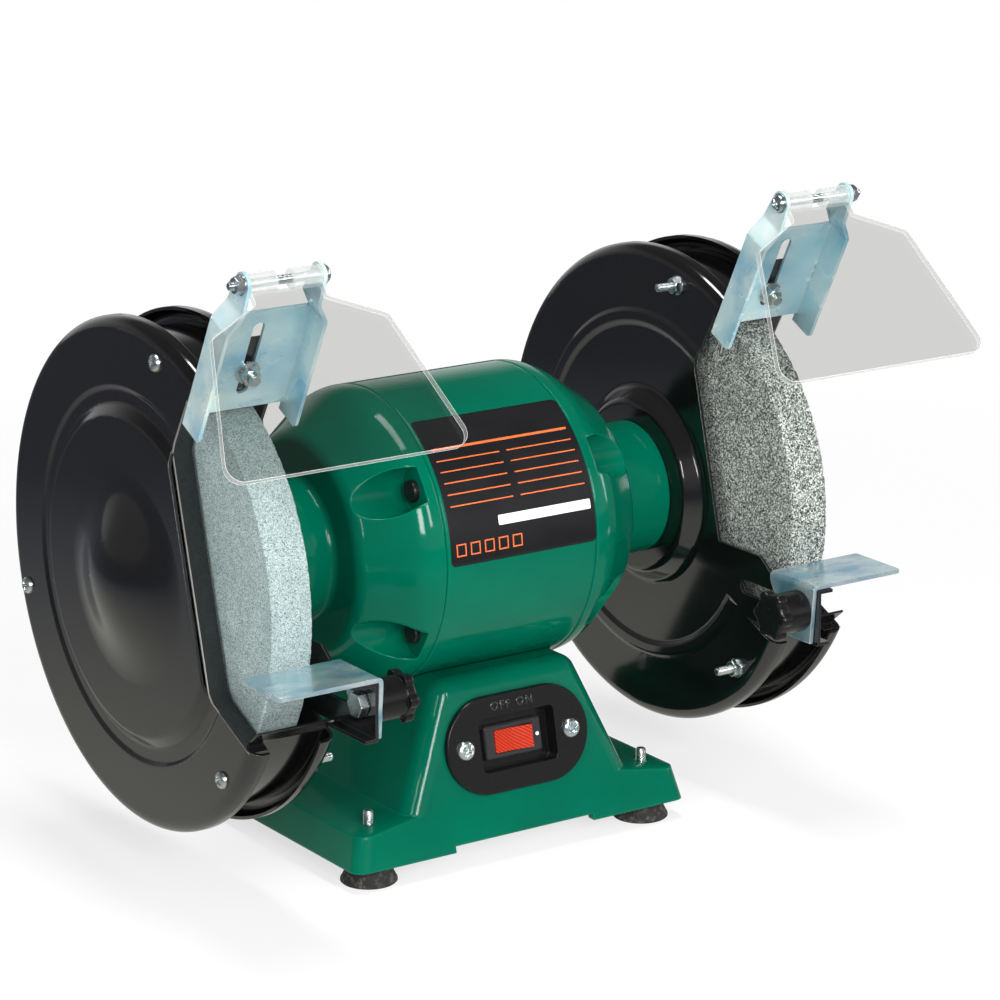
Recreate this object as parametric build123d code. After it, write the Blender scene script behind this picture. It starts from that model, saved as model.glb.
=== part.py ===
from build123d import *
import os
from math import asin, cos, degrees, radians, sin, sqrt

# Bench grinder: one motor shaft with a guarded grinding wheel at each end, on a cast pedestal.
# Millimetres. X runs along the shaft, the operator stands on the -Y side, Z is up.
# Pieces are drawn about the shaft axis and lifted at the end, so that Z = 0 is the bench top.
# Paired pieces are drawn for the right side (+X) and mirrored for the left.
# An angle about the shaft starts at the operator's side and grows upwards.

# Fits
fit_clearance = 0.02
thread_clearance = 0.05
running_clearance = 0.1
seat_gap = 0.2
body_gap = 0.3

# Screw heads and nuts, as shares of the thread or of the width across flats
pan_head_width = 2.0
pan_head_height = 0.55
pan_head_round = 0.4
hex_head_height = 0.7
nut_face_width = 0.94
washer_width = 2.25

# Grinding wheels and what clamps them
wheel_diameter = 200.0
wheel_width = 20.0
wheel_edge = 0.8
blotter_diameter = 74.0
blotter_thickness = 0.6
flange_diameter = 70.0
flange_thickness = 6.0
flange_relief = 1.2
flange_land = 9.0
flange_edge = 1.5
spindle_diameter = 16.0
spindle_end_past_nut = 1.5
spindle_bevel = 1.0
wheel_nut_across_flats = 24.0
wheel_nut_thickness = 13.0

# Motor housing
tube_radius = 69.4
tube_length = 80.8
tube_wall = 4.0
seam_bevel = 0.7
bell_length = 35.0
bell_rim_length = 8.0
bell_crown_radius = 22.0
bell_shoulder_drop = 18.4
bell_corner_radius = 8.0
bell_cavity_wall = 23.4
bell_cavity_depth = 28.0
neck_radius = 31.7
neck_length = 34.4
neck_bore_radius = 13.0
neck_root_radius = 3.0
neck_edge_radius = 0.8
pocket_angles = (33.0, -33.0, 147.0, 213.0)
pocket_axis_set_in = 7.4
pocket_radius = 10.5
pocket_floor = 5.5
bell_screw_set_in = 9.4
bell_screw_diameter = 5.0
bell_screw_grip = 9.0
screw_lug_radius = 6.5
screw_lug_length = 13.0

# Electric motor
stack_length = 48.0
stator_tooth_height = 2.5
air_gap = 0.4
winding_build = 7.5
winding_gap = 1.0
winding_overhang = 19.0
winding_round = 3.0
end_ring_width = 6.0
end_ring_depth = 11.0
end_ring_round = 1.0
core_seat_diameter = 24.0

# Ball bearings, 20 x 47 x 14
bearing_bore = 20.0
bearing_outer = 47.0
bearing_width = 14.0
bearing_shoulder = 7.8
ball_diameter = 7.9
ball_count = 8
race_wall = 4.1

# Wheel guards
sheet = 1.5
hub_rise = 8.0
hub_radius = 41.0
hub_foot_radius = 47.0
guard_rim_gap = 15.0
guard_width = 42.4
guard_corner_radius = 6.0
lip_width = 8.7
bead_set_in = 30.0
bead_width = 8.5
bead_height = 0.9
bevel_run = 2.2
bead_blend_radius = 2.2
hub_blend_radius = 4.0
groove_width = 8.0
step_run = 5.5
step_height = 4.0
step_blend_radius = 3.5
dome_foot_radius = 45.5
dome_top_radius = 20.0
dome_height = 12.0
dome_blend_radius = 11.0
opening_top_angle = 60.0
opening_bottom_angle = -30.5
opening_bottom_slope = 25.0
opening_root_depth = 24.5
opening_corner_radius = 4.0
band_wheel_gap = 7.6
band_thickness = 1.0
band_side_gap = 0.5
band_bottom_angle = -28.5
band_lip_length = 10.0
band_lip_turn = 67.5
guard_screw_gap = 4.2
guard_screw_angles = (76.0, 196.0, 316.0)
guard_screw_diameter = 4.0
guard_screw_past_plate = 12.5
guard_nut_across_flats = 7.0
guard_nut_thickness = 3.2
washer_thickness = 1.0
hub_screw_circle = 24.0
hub_screw_count = 3
hub_screw_diameter = 5.0
hub_screw_depth = 6.5

# Tool rests and the tab on each inner guard plate that carries one
table_top_drop = 18.5
table_depth = 31.5
table_reach = 48.5
rest_sheet = 2.0
rest_bend_radius = 0.5
rest_corner_radius = 1.5
left_rest_gap = 4.0
right_rest_gap = 2.5
leg_foot_drop = 46.0
leg_foot_width = 16.0
leg_front_rake = 2.0
tab_reach = 33.5
tab_depth = 26.0
tab_top_flange = 8.0
tab_bottom_flange = 6.5
tab_flange_gap = 4.0
tab_root_rise = 6.0
tab_root_overlap = 2.5
tab_shoulder_set_in = 10.0
tab_shoulder_run = 8.0
tab_heel_run = 18.5
slot_back_set_in = 24.0
slot_front_land = 3.7
rest_bolt_drop = 32.0
rest_bolt_diameter = 6.0
rest_bolt_set_back = 10.0
rest_bolt_across_flats = 10.0
rest_bolt_head = 4.2
knob_neck_diameter = 19.0
knob_neck_length = 12.5
knob_star_diameter = 23.5
knob_star_thickness = 5.0
knob_lobe_radius = 3.2
knob_lobes = 6
knob_scallop_rise = 1.3
knob_edge_radius = 1.8

# Eye shields and their brackets
bracket_lean = 27.0
bracket_width = 49.0
bracket_sheet = 1.6
web_set_forward = 10.5
web_wheel_gap = 2.7
web_length = 52.2
flange_depth = 14.0
flange_drop = 5.0
ear_spread = 38.0
ear_joggle = 9.0
ear_radius = 5.0
ear_front_rise = 3.0
ear_back_rise = 8.0
bracket_bend_radius = 3.0
bracket_corner_radius = 2.0
bracket_slot_top = 6.0
bracket_slot_foot = 8.2
left_bracket_raise = -1.5
right_bracket_raise = 2.7
clamp_bolt_rise = 13.9
clamp_bolt_diameter = 5.0
clamp_bolt_past_nut = 2.4
clamp_nut_across_flats = 8.0
clamp_nut_thickness = 4.0
band_tab_width = 30.0
band_tab_rise = 30.4
pivot_above_web = 21.5
pivot_before_web = 7.8
pivot_screw_diameter = 4.0
pivot_nut_across_flats = 7.0
pivot_nut_thickness = 3.2
pivot_screw_past_nut = 2.5
left_shield_tilt = 51.5
right_shield_tilt = 52.0
shield_thickness = 3.0
shield_length = 86.0
shield_shoulder_drop = 22.4
shield_shoulder_half = 42.4
shield_bottom_half = 59.5
shield_neck_drop = 10.5
shield_neck_radius = 2.0
shield_shoulder_radius = 4.0
shield_corner_radius = 7.0
knuckle_diameter = 8.6
knuckle_gap = 8.0

# Pedestal
base_height = 132.5
base_half_length = 91.0
base_half_depth = 72.1
base_lean = 0.2
skirt_height = 15.5
ledge_half_length = 87.0
ledge_rise = 4.5
waist_half_length = 61.5
shoulder_rise = 12.4
shoulder_half_length = 37.7
skirt_corner_radius = 6.0
body_corner_radius = 9.0
base_top_radius = 9.0
base_wall = 4.5
cavity_roof = 5.5
notch_half_length = 38.0
notch_height = 3.0
foot_diameter = 26.0
foot_height = 9.5
foot_taper = 1.0
foot_edge_radius = 1.5
foot_spread_x = 150.6
foot_spread_y = 114.0
foot_boss_radius = 10.0
foot_screw_diameter = 5.0
foot_screw_proud = 6.0
foot_recess_diameter = 12.0
foot_recess_depth = 4.5
bottom_plate_thickness = 1.5
bottom_plate_half_length = 55.0
bottom_plate_corner = 3.0
plate_screw_diameter = 4.0
plate_screw_depth = 7.0
post_spread = 80.0
post_radius = 5.0
motor_screw_spread = 44.0
motor_screw_diameter = 6.0

# Switch, capacitor and lead inlet
switch_below_tube = 18.6
switch_plate_length = 77.0
switch_plate_height = 45.0
switch_plate_thickness = 2.6
switch_plate_bevel = 0.6
switch_screw_spread = 57.6
switch_screw_diameter = 4.0
tray_length = 41.0
tray_height = 25.0
tray_depth = 4.5
tray_wall = 1.5
tray_corner_radius = 2.5
bezel_length = 31.0
bezel_height = 16.0
bezel_thickness = 3.2
bezel_corner = 1.5
bezel_bevel = 0.8
switch_can_length = 28.0
switch_can_height = 13.0
switch_can_depth = 24.0
rocker_length = 20.6
rocker_height = 10.4
rocker_throw = 8.0
rocker_pivot_rise = 0.5
rocker_end_rise = 4.0
rocker_middle_rise = 2.6
rocker_edge_low = -1.5
rocker_keel = 4.0
rocker_well_depth = 5.5
blade_pitch = 9.0
blade_width = 4.8
blade_thickness = 0.8
blade_length = 7.0
capacitor_diameter = 34.0
capacitor_length = 62.0
capacitor_set_back = 32.0
capacitor_edge_radius = 2.0
capacitor_blade_pitch = 10.0
clamp_band_width = 16.0
clamp_band_thickness = 1.2
clamp_foot_length = 9.0
inlet_drop = 104.0
inlet_bore = 8.0
inlet_hole = 14.0
inlet_collar = 19.0
inlet_collar_thickness = 3.0
inlet_edge_radius = 1.0

# Sizes and places that follow from those above
shaft_height = foot_height + base_height
seam_x = tube_length / 2
bell_end_x = seam_x + bell_length
neck_end_x = bell_end_x + neck_length
bearing_far_x = neck_end_x - bearing_shoulder
bearing_near_x = bearing_far_x - bearing_width
plate_x = neck_end_x + hub_rise
plate_inside_x = plate_x + sheet
cover_x = plate_x + guard_width
cover_inside_x = cover_x - sheet
guard_middle_x = plate_x + guard_width / 2
wheel_radius = wheel_diameter / 2
bell_shoulder_radius = tube_radius - bell_shoulder_drop
bell_cavity_radius = tube_radius - bell_cavity_wall
pocket_axis_radius = tube_radius - pocket_axis_set_in
bell_screw_circle = tube_radius - bell_screw_set_in
winding_outer_radius = bell_cavity_radius - winding_gap
winding_inner_radius = winding_outer_radius - winding_build
stator_bore_radius = winding_inner_radius - stator_tooth_height
guard_radius = wheel_radius + guard_rim_gap
guard_screw_circle = wheel_radius + guard_screw_gap
band_radius = wheel_radius + band_wheel_gap
bead_outer_radius = guard_radius - bead_set_in
bead_inner_radius = bead_outer_radius - bead_width
step_foot_radius = bead_outer_radius - groove_width
step_top_radius = step_foot_radius - step_run
opening_root_radius = wheel_radius - opening_root_depth
tab_front = wheel_radius + tab_reach
tab_flange_back = wheel_radius + tab_flange_gap
tab_shoulder_front = wheel_radius - tab_shoulder_set_in
slot_back = wheel_radius - slot_back_set_in
slot_front = tab_front - slot_front_land
web_top_reach = wheel_radius + web_wheel_gap + web_length
clamp_bolt_reach = band_radius + clamp_bolt_rise
band_tab_reach = band_radius + band_tab_rise
shoulder_drop = tube_radius - shoulder_rise
switch_drop = tube_radius + switch_below_tube
rest_gap = {"left": left_rest_gap, "right": right_rest_gap}
bracket_raise = {"left": left_bracket_raise, "right": right_bracket_raise}
shield_tilt = {"left": left_shield_tilt, "right": right_shield_tilt}
wheel_near_x = guard_middle_x - wheel_width / 2
wheel_far_x = guard_middle_x + wheel_width / 2
flange_near_x = wheel_near_x - blotter_thickness - flange_thickness
flange_far_x = wheel_far_x + blotter_thickness + flange_thickness
spindle_end_x = flange_far_x + wheel_nut_thickness + spindle_end_past_nut
sides = (("left", -1), ("right", 1))


# Small makers that many pieces share
def on_side(sign, shape):
    return shape if sign > 0 else mirror(shape, about=Plane.YZ)


def both_sides(shape):
    return [mirror(shape, about=Plane.YZ), shape]


def halves(spread):
    return (-spread / 2, spread / 2)


def around(radius, angle):
    return (-radius * cos(radians(angle)), radius * sin(radians(angle)))


def rounded(*corners):
    """A flat face from (x, y, corner radius) points."""
    face = Polygon(*[(x, y) for x, y, radius in corners], align=None)
    for x, y, radius in corners:
        if radius > 0:
            face = fillet(face.vertices().sort_by_distance((x, y, 0))[0], radius)
    return face


def spun(*corners):
    """A turned solid from (along the shaft, radius, corner radius) points."""
    return revolve(rounded(*corners), Axis.X)


def spun_sheet(points, radii, thickness, side):
    """A dished sheet, spun from its outer line and thickened to one side."""
    line = FilletPolyline(*points, radius=radii)
    return revolve(make_face(offset(line, amount=thickness, side=side).edges()), Axis.X)


def slab_x(face, x_from, x_to):
    """A face drawn in (Y, Z), run from one place on the shaft to another."""
    return extrude(Plane.YZ.offset(x_from) * face, amount=x_to - x_from, dir=(1, 0, 0))


def rod_x(x_from, x_to, radius, y=0.0, z=0.0):
    return slab_x(Pos(y, z) * Circle(radius), x_from, x_to)


def hexagon(across_flats):
    return RegularPolygon(across_flats / 2, 6, major_radius=False)


def pan_screw(diameter, length):
    """A pan head screw along Z whose head stands on Z = 0."""
    head_height = pan_head_height * diameter
    head = extrude(Circle(pan_head_width * diameter / 2), amount=head_height)
    head = fillet(head.faces().sort_by(Axis.Z)[-1].edges(), pan_head_round * head_height)
    return head + Pos(0, 0, -length / 2) * Cylinder(diameter / 2, length)


def hex_nut(across_flats, thickness, diameter):
    """A hex nut along Z with its upper corners turned off, its seat on Z = 0."""
    face_radius = nut_face_width * across_flats / 2
    turned = Pos(0, 0, thickness / 2) * Cone(face_radius + thickness, face_radius, thickness)
    body = extrude(hexagon(across_flats), amount=thickness) & turned
    return body - Cylinder(diameter / 2 + thread_clearance, 3 * thickness)


def washer(diameter):
    ring = Circle(washer_width * diameter / 2) - Circle(diameter / 2 + thread_clearance)
    return extrude(ring, amount=washer_thickness)


# Motor housing
def motor_tube():
    bore = tube_radius - tube_wall
    half = spun((0, bore, 0), (0, tube_radius, 0), (seam_x - seam_bevel, tube_radius, 0),
                (seam_x, tube_radius - seam_bevel, 0), (seam_x, bore, 0))
    tube = half + mirror(half, about=Plane.YZ)
    for angle in pocket_angles:
        y, z = around(bell_screw_circle, angle)
        lug = rod_x(seam_x - screw_lug_length, seam_x, screw_lug_radius, y, z)
        hole = rod_x(seam_x - screw_lug_length, seam_x, bell_screw_diameter / 2 + thread_clearance, y, z)
        for sign in (-1, 1):
            tube += on_side(sign, lug)
            tube -= on_side(sign, hole)
    for x in halves(motor_screw_spread):
        tube -= Pos(x, 0, -tube_radius) * Cylinder(motor_screw_diameter / 2 + thread_clearance, 3 * tube_wall)
    return tube


def end_bell():
    bearing_radius = bearing_outer / 2 + fit_clearance
    cavity_end_x = seam_x + bell_cavity_depth
    bell = spun((seam_x, bell_cavity_radius, 0), (seam_x, tube_radius - seam_bevel, 0),
                (seam_x + seam_bevel, tube_radius, 0),
                (seam_x + bell_rim_length, tube_radius, bell_crown_radius),
                (bell_end_x, bell_shoulder_radius, bell_corner_radius),
                (bell_end_x, neck_radius, neck_root_radius),
                (neck_end_x, neck_radius, neck_edge_radius), (neck_end_x, neck_bore_radius, 0),
                (bearing_far_x, neck_bore_radius, 0), (bearing_far_x, bearing_radius, 0),
                (cavity_end_x, bearing_radius, 0), (cavity_end_x, bell_cavity_radius, 0))
    for angle in pocket_angles:
        y, z = around(pocket_axis_radius, angle)
        bell -= rod_x(seam_x + pocket_floor, bell_end_x + pocket_radius, pocket_radius, y, z)
        y, z = around(bell_screw_circle, angle)
        bell -= rod_x(seam_x, bell_end_x, bell_screw_diameter / 2 + thread_clearance, y, z)
    for y, z in hub_screw_places():
        hole = hub_screw_diameter / 2 + thread_clearance
        bell -= rod_x(neck_end_x - hub_screw_depth - body_gap, neck_end_x, hole, y, z)
    return bell


def bell_screws():
    screw = Rot(0, 90, 0) * pan_screw(bell_screw_diameter, pocket_floor + bell_screw_grip)
    screws = []
    for angle in pocket_angles:
        y, z = around(bell_screw_circle, angle)
        screws += both_sides(Pos(seam_x + pocket_floor, y, z) * screw)
    return Compound(screws)


# Electric motor inside the housing
def stator_core():
    half = stack_length / 2
    outer = tube_radius - tube_wall - fit_clearance
    return spun((-half, stator_bore_radius, 0), (-half, outer, 0),
                (half, outer, 0), (half, stator_bore_radius, 0))


def stator_windings():
    near = stack_length / 2
    far = near + winding_overhang
    ring = spun((near, winding_inner_radius, 0), (near, winding_outer_radius, 0),
                (far, winding_outer_radius, winding_round), (far, winding_inner_radius, winding_round))
    return Compound(both_sides(ring))


def rotor_core():
    half = stack_length / 2
    outer = stator_bore_radius - air_gap
    seat = core_seat_diameter / 2 + fit_clearance
    return spun((-half, seat, 0), (-half, outer, 0), (half, outer, 0), (half, seat, 0))


def rotor_end_rings():
    near = stack_length / 2
    far = near + end_ring_width
    outer = stator_bore_radius - air_gap - end_ring_round
    inner = outer - end_ring_depth
    ring = spun((near, inner, 0), (near, outer, 0),
                (far, outer, end_ring_round), (far, inner, end_ring_round))
    return Compound(both_sides(ring))


def shaft():
    core_radius = core_seat_diameter / 2
    journal_radius = bearing_bore / 2
    spindle_radius = spindle_diameter / 2
    half = spun((0, 0, 0), (0, core_radius, 0), (bearing_near_x, core_radius, 0),
                (bearing_near_x, journal_radius, 0), (flange_near_x, journal_radius, 0),
                (flange_near_x, spindle_radius, 0), (spindle_end_x - spindle_bevel, spindle_radius, 0),
                (spindle_end_x, spindle_radius - spindle_bevel, 0), (spindle_end_x, 0, 0))
    return half + mirror(half, about=Plane.YZ)


# Ball bearings
ball_circle = (bearing_bore + bearing_outer) / 4
bearing_middle_x = (bearing_near_x + bearing_far_x) / 2


def race(inner_radius, outer_radius):
    ring = spun((bearing_near_x, inner_radius, 0), (bearing_near_x, outer_radius, 0),
                (bearing_far_x, outer_radius, 0), (bearing_far_x, inner_radius, 0))
    groove = Torus(ball_circle, ball_diameter / 2 + running_clearance)
    return ring - Pos(bearing_middle_x, 0, 0) * Rot(0, 90, 0) * groove


def bearing_outer_ring():
    return race(bearing_outer / 2 - race_wall, bearing_outer / 2)


def bearing_inner_ring():
    return race(bearing_bore / 2 + fit_clearance, bearing_bore / 2 + race_wall)


def bearing_balls():
    balls = []
    for index in range(ball_count):
        y, z = around(ball_circle, 360 * index / ball_count)
        balls.append(Pos(bearing_middle_x, y, z) * Sphere(ball_diameter / 2))
    return balls


# Wheels and what clamps them
def grinding_wheel():
    bore = spindle_diameter / 2 + running_clearance
    return spun((wheel_near_x, bore, 0), (wheel_near_x, wheel_radius, wheel_edge),
                (wheel_far_x, wheel_radius, wheel_edge), (wheel_far_x, bore, 0))


def clamp_flange(face_x, outward):
    """A dished flange that grips the wheel only on an outer ring."""
    bore = spindle_diameter / 2 + running_clearance
    outer = flange_diameter / 2
    back_x = face_x + outward * flange_thickness
    relief_x = face_x + outward * flange_relief
    return spun((back_x, bore, 0), (back_x, outer, flange_edge), (face_x, outer, 0),
                (face_x, outer - flange_land, 0), (relief_x, outer - flange_land, 0), (relief_x, bore, 0))


def blotters():
    ring = Circle(blotter_diameter / 2) - Circle(spindle_diameter / 2 + running_clearance)
    inner = slab_x(ring, wheel_near_x - blotter_thickness, wheel_near_x)
    outer = slab_x(ring, wheel_far_x, wheel_far_x + blotter_thickness)
    return Compound(both_sides(inner) + both_sides(outer))


def wheel_nuts():
    nut = hex_nut(wheel_nut_across_flats, wheel_nut_thickness, spindle_diameter)
    return Compound(both_sides(Pos(flange_far_x, 0, 0) * Rot(0, 90, 0) * nut))


# Wheel guards
def hub_screw_places():
    return [around(hub_screw_circle, 90 + 360 * index / hub_screw_count) for index in range(hub_screw_count)]


def wheel_opening():
    """The sector of a guard that is left open at the operator's side, closed by a straight inner edge."""
    reach = 2 * guard_radius
    top_out = around(reach, opening_top_angle)
    top_in = around(opening_root_radius, opening_top_angle)
    bottom_in = around(opening_root_radius, opening_bottom_angle)
    slope_y, slope_z = around(reach, -opening_bottom_slope)
    bottom_out = (bottom_in[0] + slope_y, bottom_in[1] + slope_z)
    return rounded((*top_out, 0), (*top_in, opening_corner_radius), (*bottom_in, opening_corner_radius),
                   (*bottom_out, 0))


def opening_edge_y(z):
    """Where the straight inner edge of the wheel opening lies at a height."""
    middle = radians((opening_top_angle + opening_bottom_angle) / 2)
    half = radians((opening_top_angle - opening_bottom_angle) / 2)
    return (z * sin(middle) - opening_root_radius * cos(half)) / cos(middle)


def guard_screw_holes(x_from, x_to):
    holes = []
    for angle in guard_screw_angles:
        y, z = around(guard_screw_circle, angle)
        holes.append(rod_x(x_from, x_to, guard_screw_diameter / 2 + running_clearance, y, z))
    return holes


def inner_guard_plate():
    bead_x = plate_x - bead_height
    points = ((plate_x + lip_width, guard_radius), (plate_x, guard_radius), (plate_x, bead_outer_radius),
              (bead_x, bead_outer_radius - bevel_run), (bead_x, bead_inner_radius + bevel_run),
              (plate_x, bead_inner_radius), (plate_x, hub_foot_radius), (neck_end_x, hub_radius),
              (neck_end_x, neck_bore_radius))
    radii = (guard_corner_radius, *[bead_blend_radius] * 4, *[hub_blend_radius] * 2)
    plate = spun_sheet(points, radii, sheet, Side.LEFT)
    plate -= slab_x(wheel_opening(), neck_end_x, cover_x)
    plate += tool_rest_tab()
    for hole in guard_screw_holes(neck_end_x, cover_x):
        plate -= hole
    for y, z in hub_screw_places():
        plate -= rod_x(neck_end_x, plate_x, hub_screw_diameter / 2 + running_clearance, y, z)
    return plate


# The tab's edges, measured down from the shaft axis, fit under the table of the tool rest
tab_top_drop = table_top_drop + rest_sheet + body_gap
tab_bottom_drop = tab_top_drop + tab_depth


def tool_rest_tab():
    """A flat arm of the inner plate with a flange above and below and the slot for the rest's bolt."""
    root_y, root_z = around(opening_root_radius, opening_bottom_angle)
    shoulder_z = tab_root_rise - tab_top_drop
    edge_y = opening_edge_y(shoulder_z)
    arm = Polygon((edge_y + tab_root_overlap, shoulder_z), (-tab_shoulder_front, shoulder_z),
                  (-tab_shoulder_front - tab_shoulder_run, -tab_top_drop),
                  (-tab_front, -tab_top_drop), (-tab_front, -tab_bottom_drop),
                  (root_y - tab_heel_run, -tab_bottom_drop), (root_y + tab_root_overlap, root_z), align=None)
    slot_middle = (slot_front + slot_back) / 2
    slot_width = rest_bolt_diameter + 2 * body_gap
    slot = Pos(-slot_middle, -rest_bolt_drop) * SlotOverall(slot_front - slot_back, slot_width)
    top = Polygon((-tab_front, -tab_top_drop), (-tab_flange_back, -tab_top_drop),
                  (-tab_flange_back, -tab_top_drop - sheet), (-tab_front, -tab_top_drop - sheet), align=None)
    bottom = Polygon((-tab_front, sheet - tab_bottom_drop), (-tab_flange_back, sheet - tab_bottom_drop),
                     (-tab_flange_back, -tab_bottom_drop), (-tab_front, -tab_bottom_drop), align=None)
    tab = slab_x(arm - slot, plate_x, plate_inside_x)
    tab += slab_x(top, plate_x, plate_x + tab_top_flange)
    tab += slab_x(bottom, plate_x, plate_x + tab_bottom_flange)
    return tab


def outer_cover():
    groove_x = cover_x - bead_height
    plateau_x = groove_x + step_height
    dome_x = plateau_x + dome_height
    points = ((cover_x - lip_width, guard_radius), (cover_x, guard_radius), (cover_x, bead_outer_radius),
              (groove_x, bead_outer_radius - bevel_run), (groove_x, step_foot_radius),
              (plateau_x, step_top_radius), (plateau_x, dome_foot_radius), (dome_x, dome_top_radius),
              (dome_x, 0))
    radii = (guard_corner_radius, *[bead_blend_radius] * 2, *[step_blend_radius] * 2,
             *[dome_blend_radius] * 2)
    cover = spun_sheet(points, radii, sheet, Side.RIGHT)
    cover -= slab_x(wheel_opening(), plate_x, dome_x)
    for hole in guard_screw_holes(plate_x, dome_x):
        cover -= hole
    return cover


# The plane of a shield bracket's web: x along the shaft, y up the web, z towards the operator
def bracket_plane(rise):
    lean = radians(bracket_lean)
    up = Vector(0, -sin(lean), cos(lean))
    out = Vector(0, -cos(lean), -sin(lean))
    origin = Vector(guard_middle_x, 0, 0) + out * web_set_forward + up * (web_top_reach + rise)
    return Plane(origin, x_dir=(1, 0, 0), z_dir=out)


def guard_band():
    """The spark strip round the wheel, with a tab bent up for the shield bracket and a turned lower lip."""
    ring = Circle(band_radius) - Circle(band_radius - band_thickness)
    tab_middle = web_set_forward - seat_gap - band_thickness / 2
    top_angle = 90 - bracket_lean - degrees(asin(tab_middle / band_radius))
    reach = 2 * band_radius
    middle_angle = (band_bottom_angle + top_angle) / 2
    gap = Polygon((0, 0), around(reach, band_bottom_angle), around(reach, middle_angle),
                  around(reach, top_angle), align=None)
    lip = Rectangle(band_lip_length, band_thickness, align=(Align.MIN, Align.CENTER))
    lip = Rot(0, 0, 180 - band_bottom_angle - band_lip_turn) * lip
    lip = Pos(*around(band_radius - band_thickness / 2, band_bottom_angle)) * lip
    band = slab_x(ring - gap + lip, plate_inside_x + band_side_gap, cover_inside_x - band_side_gap)
    plane = bracket_plane(0)
    foot = sqrt(band_radius ** 2 - tab_middle ** 2) - web_top_reach - band_thickness
    tab_length = band_tab_reach - web_top_reach - foot
    tab = Pos(0, foot) * Rectangle(band_tab_width, tab_length, align=(Align.CENTER, Align.MIN))
    tab -= Pos(0, clamp_bolt_reach - web_top_reach) * Circle(clamp_bolt_diameter / 2 + thread_clearance)
    return band + extrude(plane.offset(-seat_gap) * tab, amount=-band_thickness)


def guard_screws():
    screw = Rot(0, 90, 0) * pan_screw(guard_screw_diameter, guard_width + guard_screw_past_plate)
    screws = []
    for angle in guard_screw_angles:
        screws += both_sides(Pos(cover_x, *around(guard_screw_circle, angle)) * screw)
    return Compound(screws)


def guard_nuts():
    nut = Rot(0, -90, 0) * hex_nut(guard_nut_across_flats, guard_nut_thickness, guard_screw_diameter)
    disc = washer(guard_screw_diameter)
    disc = Rot(0, -90, 0) * disc
    pieces = []
    for angle in guard_screw_angles:
        place = around(guard_screw_circle, angle)
        pieces += both_sides(Pos(plate_x, *place) * disc)
        pieces += both_sides(Pos(plate_x - washer_thickness, *place) * nut)
    return Compound(pieces)


def hub_screws():
    screw = Rot(0, 90, 0) * pan_screw(hub_screw_diameter, sheet + hub_screw_depth)
    screws = []
    for y, z in hub_screw_places():
        screws += both_sides(Pos(neck_end_x + sheet, y, z) * screw)
    return Compound(screws)


# Eye shield brackets
def shield_bracket(side):
    plane = bracket_plane(bracket_raise[side])
    half = bracket_width / 2
    ear_half = ear_spread / 2
    foot = -web_length - flange_drop
    ear_top = pivot_above_web + ear_radius
    web = Rectangle(bracket_width, web_length, align=(Align.CENTER, Align.MAX))
    slot_length = web_length - bracket_slot_top - bracket_slot_foot
    slot_middle = -bracket_slot_top - slot_length / 2
    web -= Pos(0, slot_middle) * Rot(0, 0, 90) * SlotOverall(slot_length, clamp_bolt_diameter + 2 * body_gap)
    bracket = extrude(web, amount=bracket_sheet)
    path = FilletPolyline((half, foot), (half, 0), (ear_half, ear_joggle), (ear_half, ear_top),
                          radius=bracket_bend_radius)
    strip = make_face(offset(path, amount=bracket_sheet, side=Side.LEFT).edges())
    strip = extrude(strip, amount=flange_depth, dir=(0, 0, 1))
    corner = bracket_corner_radius
    ear_front = pivot_before_web + ear_radius
    ear_back = pivot_before_web - ear_radius
    ear_round = ear_radius - fit_clearance
    rim = rounded((foot, 0, 0), (foot, flange_depth, corner), (ear_front_rise, flange_depth, corner),
                  (pivot_above_web - corner, ear_front, corner), (ear_top, ear_front, ear_round),
                  (ear_top, ear_back, ear_round), (ear_back_rise, 0, corner))
    rim -= Pos(pivot_above_web, pivot_before_web) * Circle(pivot_screw_diameter / 2 + thread_clearance)
    bracket += (strip + mirror(strip, about=Plane.YZ)) & slab_x(rim, -half, half)
    return plane * bracket


def clamp_bolts():
    plane = bracket_plane(0)
    grip = seat_gap + bracket_sheet + seat_gap + washer_thickness + clamp_nut_thickness + clamp_bolt_past_nut
    head_z = -seat_gap - band_thickness
    head = extrude(hexagon(clamp_nut_across_flats), amount=-hex_head_height * clamp_bolt_diameter)
    bolt = Pos(0, 0, head_z) * head
    bolt += Pos(0, 0, head_z) * extrude(Circle(clamp_bolt_diameter / 2), amount=grip - head_z)
    return Compound(both_sides(plane * Pos(0, clamp_bolt_reach - web_top_reach, 0) * bolt))


def clamp_nuts():
    plane = bracket_plane(0)
    disc = washer(clamp_bolt_diameter)
    nut = hex_nut(clamp_nut_across_flats, clamp_nut_thickness, clamp_bolt_diameter)
    place = plane * Pos(0, clamp_bolt_reach - web_top_reach, bracket_sheet + seat_gap)
    return Compound(both_sides(place * disc) + both_sides(place * Pos(0, 0, washer_thickness) * nut))


# Eye shields, hung on a screw between the bracket's ears
def pivot_location(side):
    return bracket_plane(bracket_raise[side]) * Pos(0, pivot_above_web, pivot_before_web)


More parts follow.
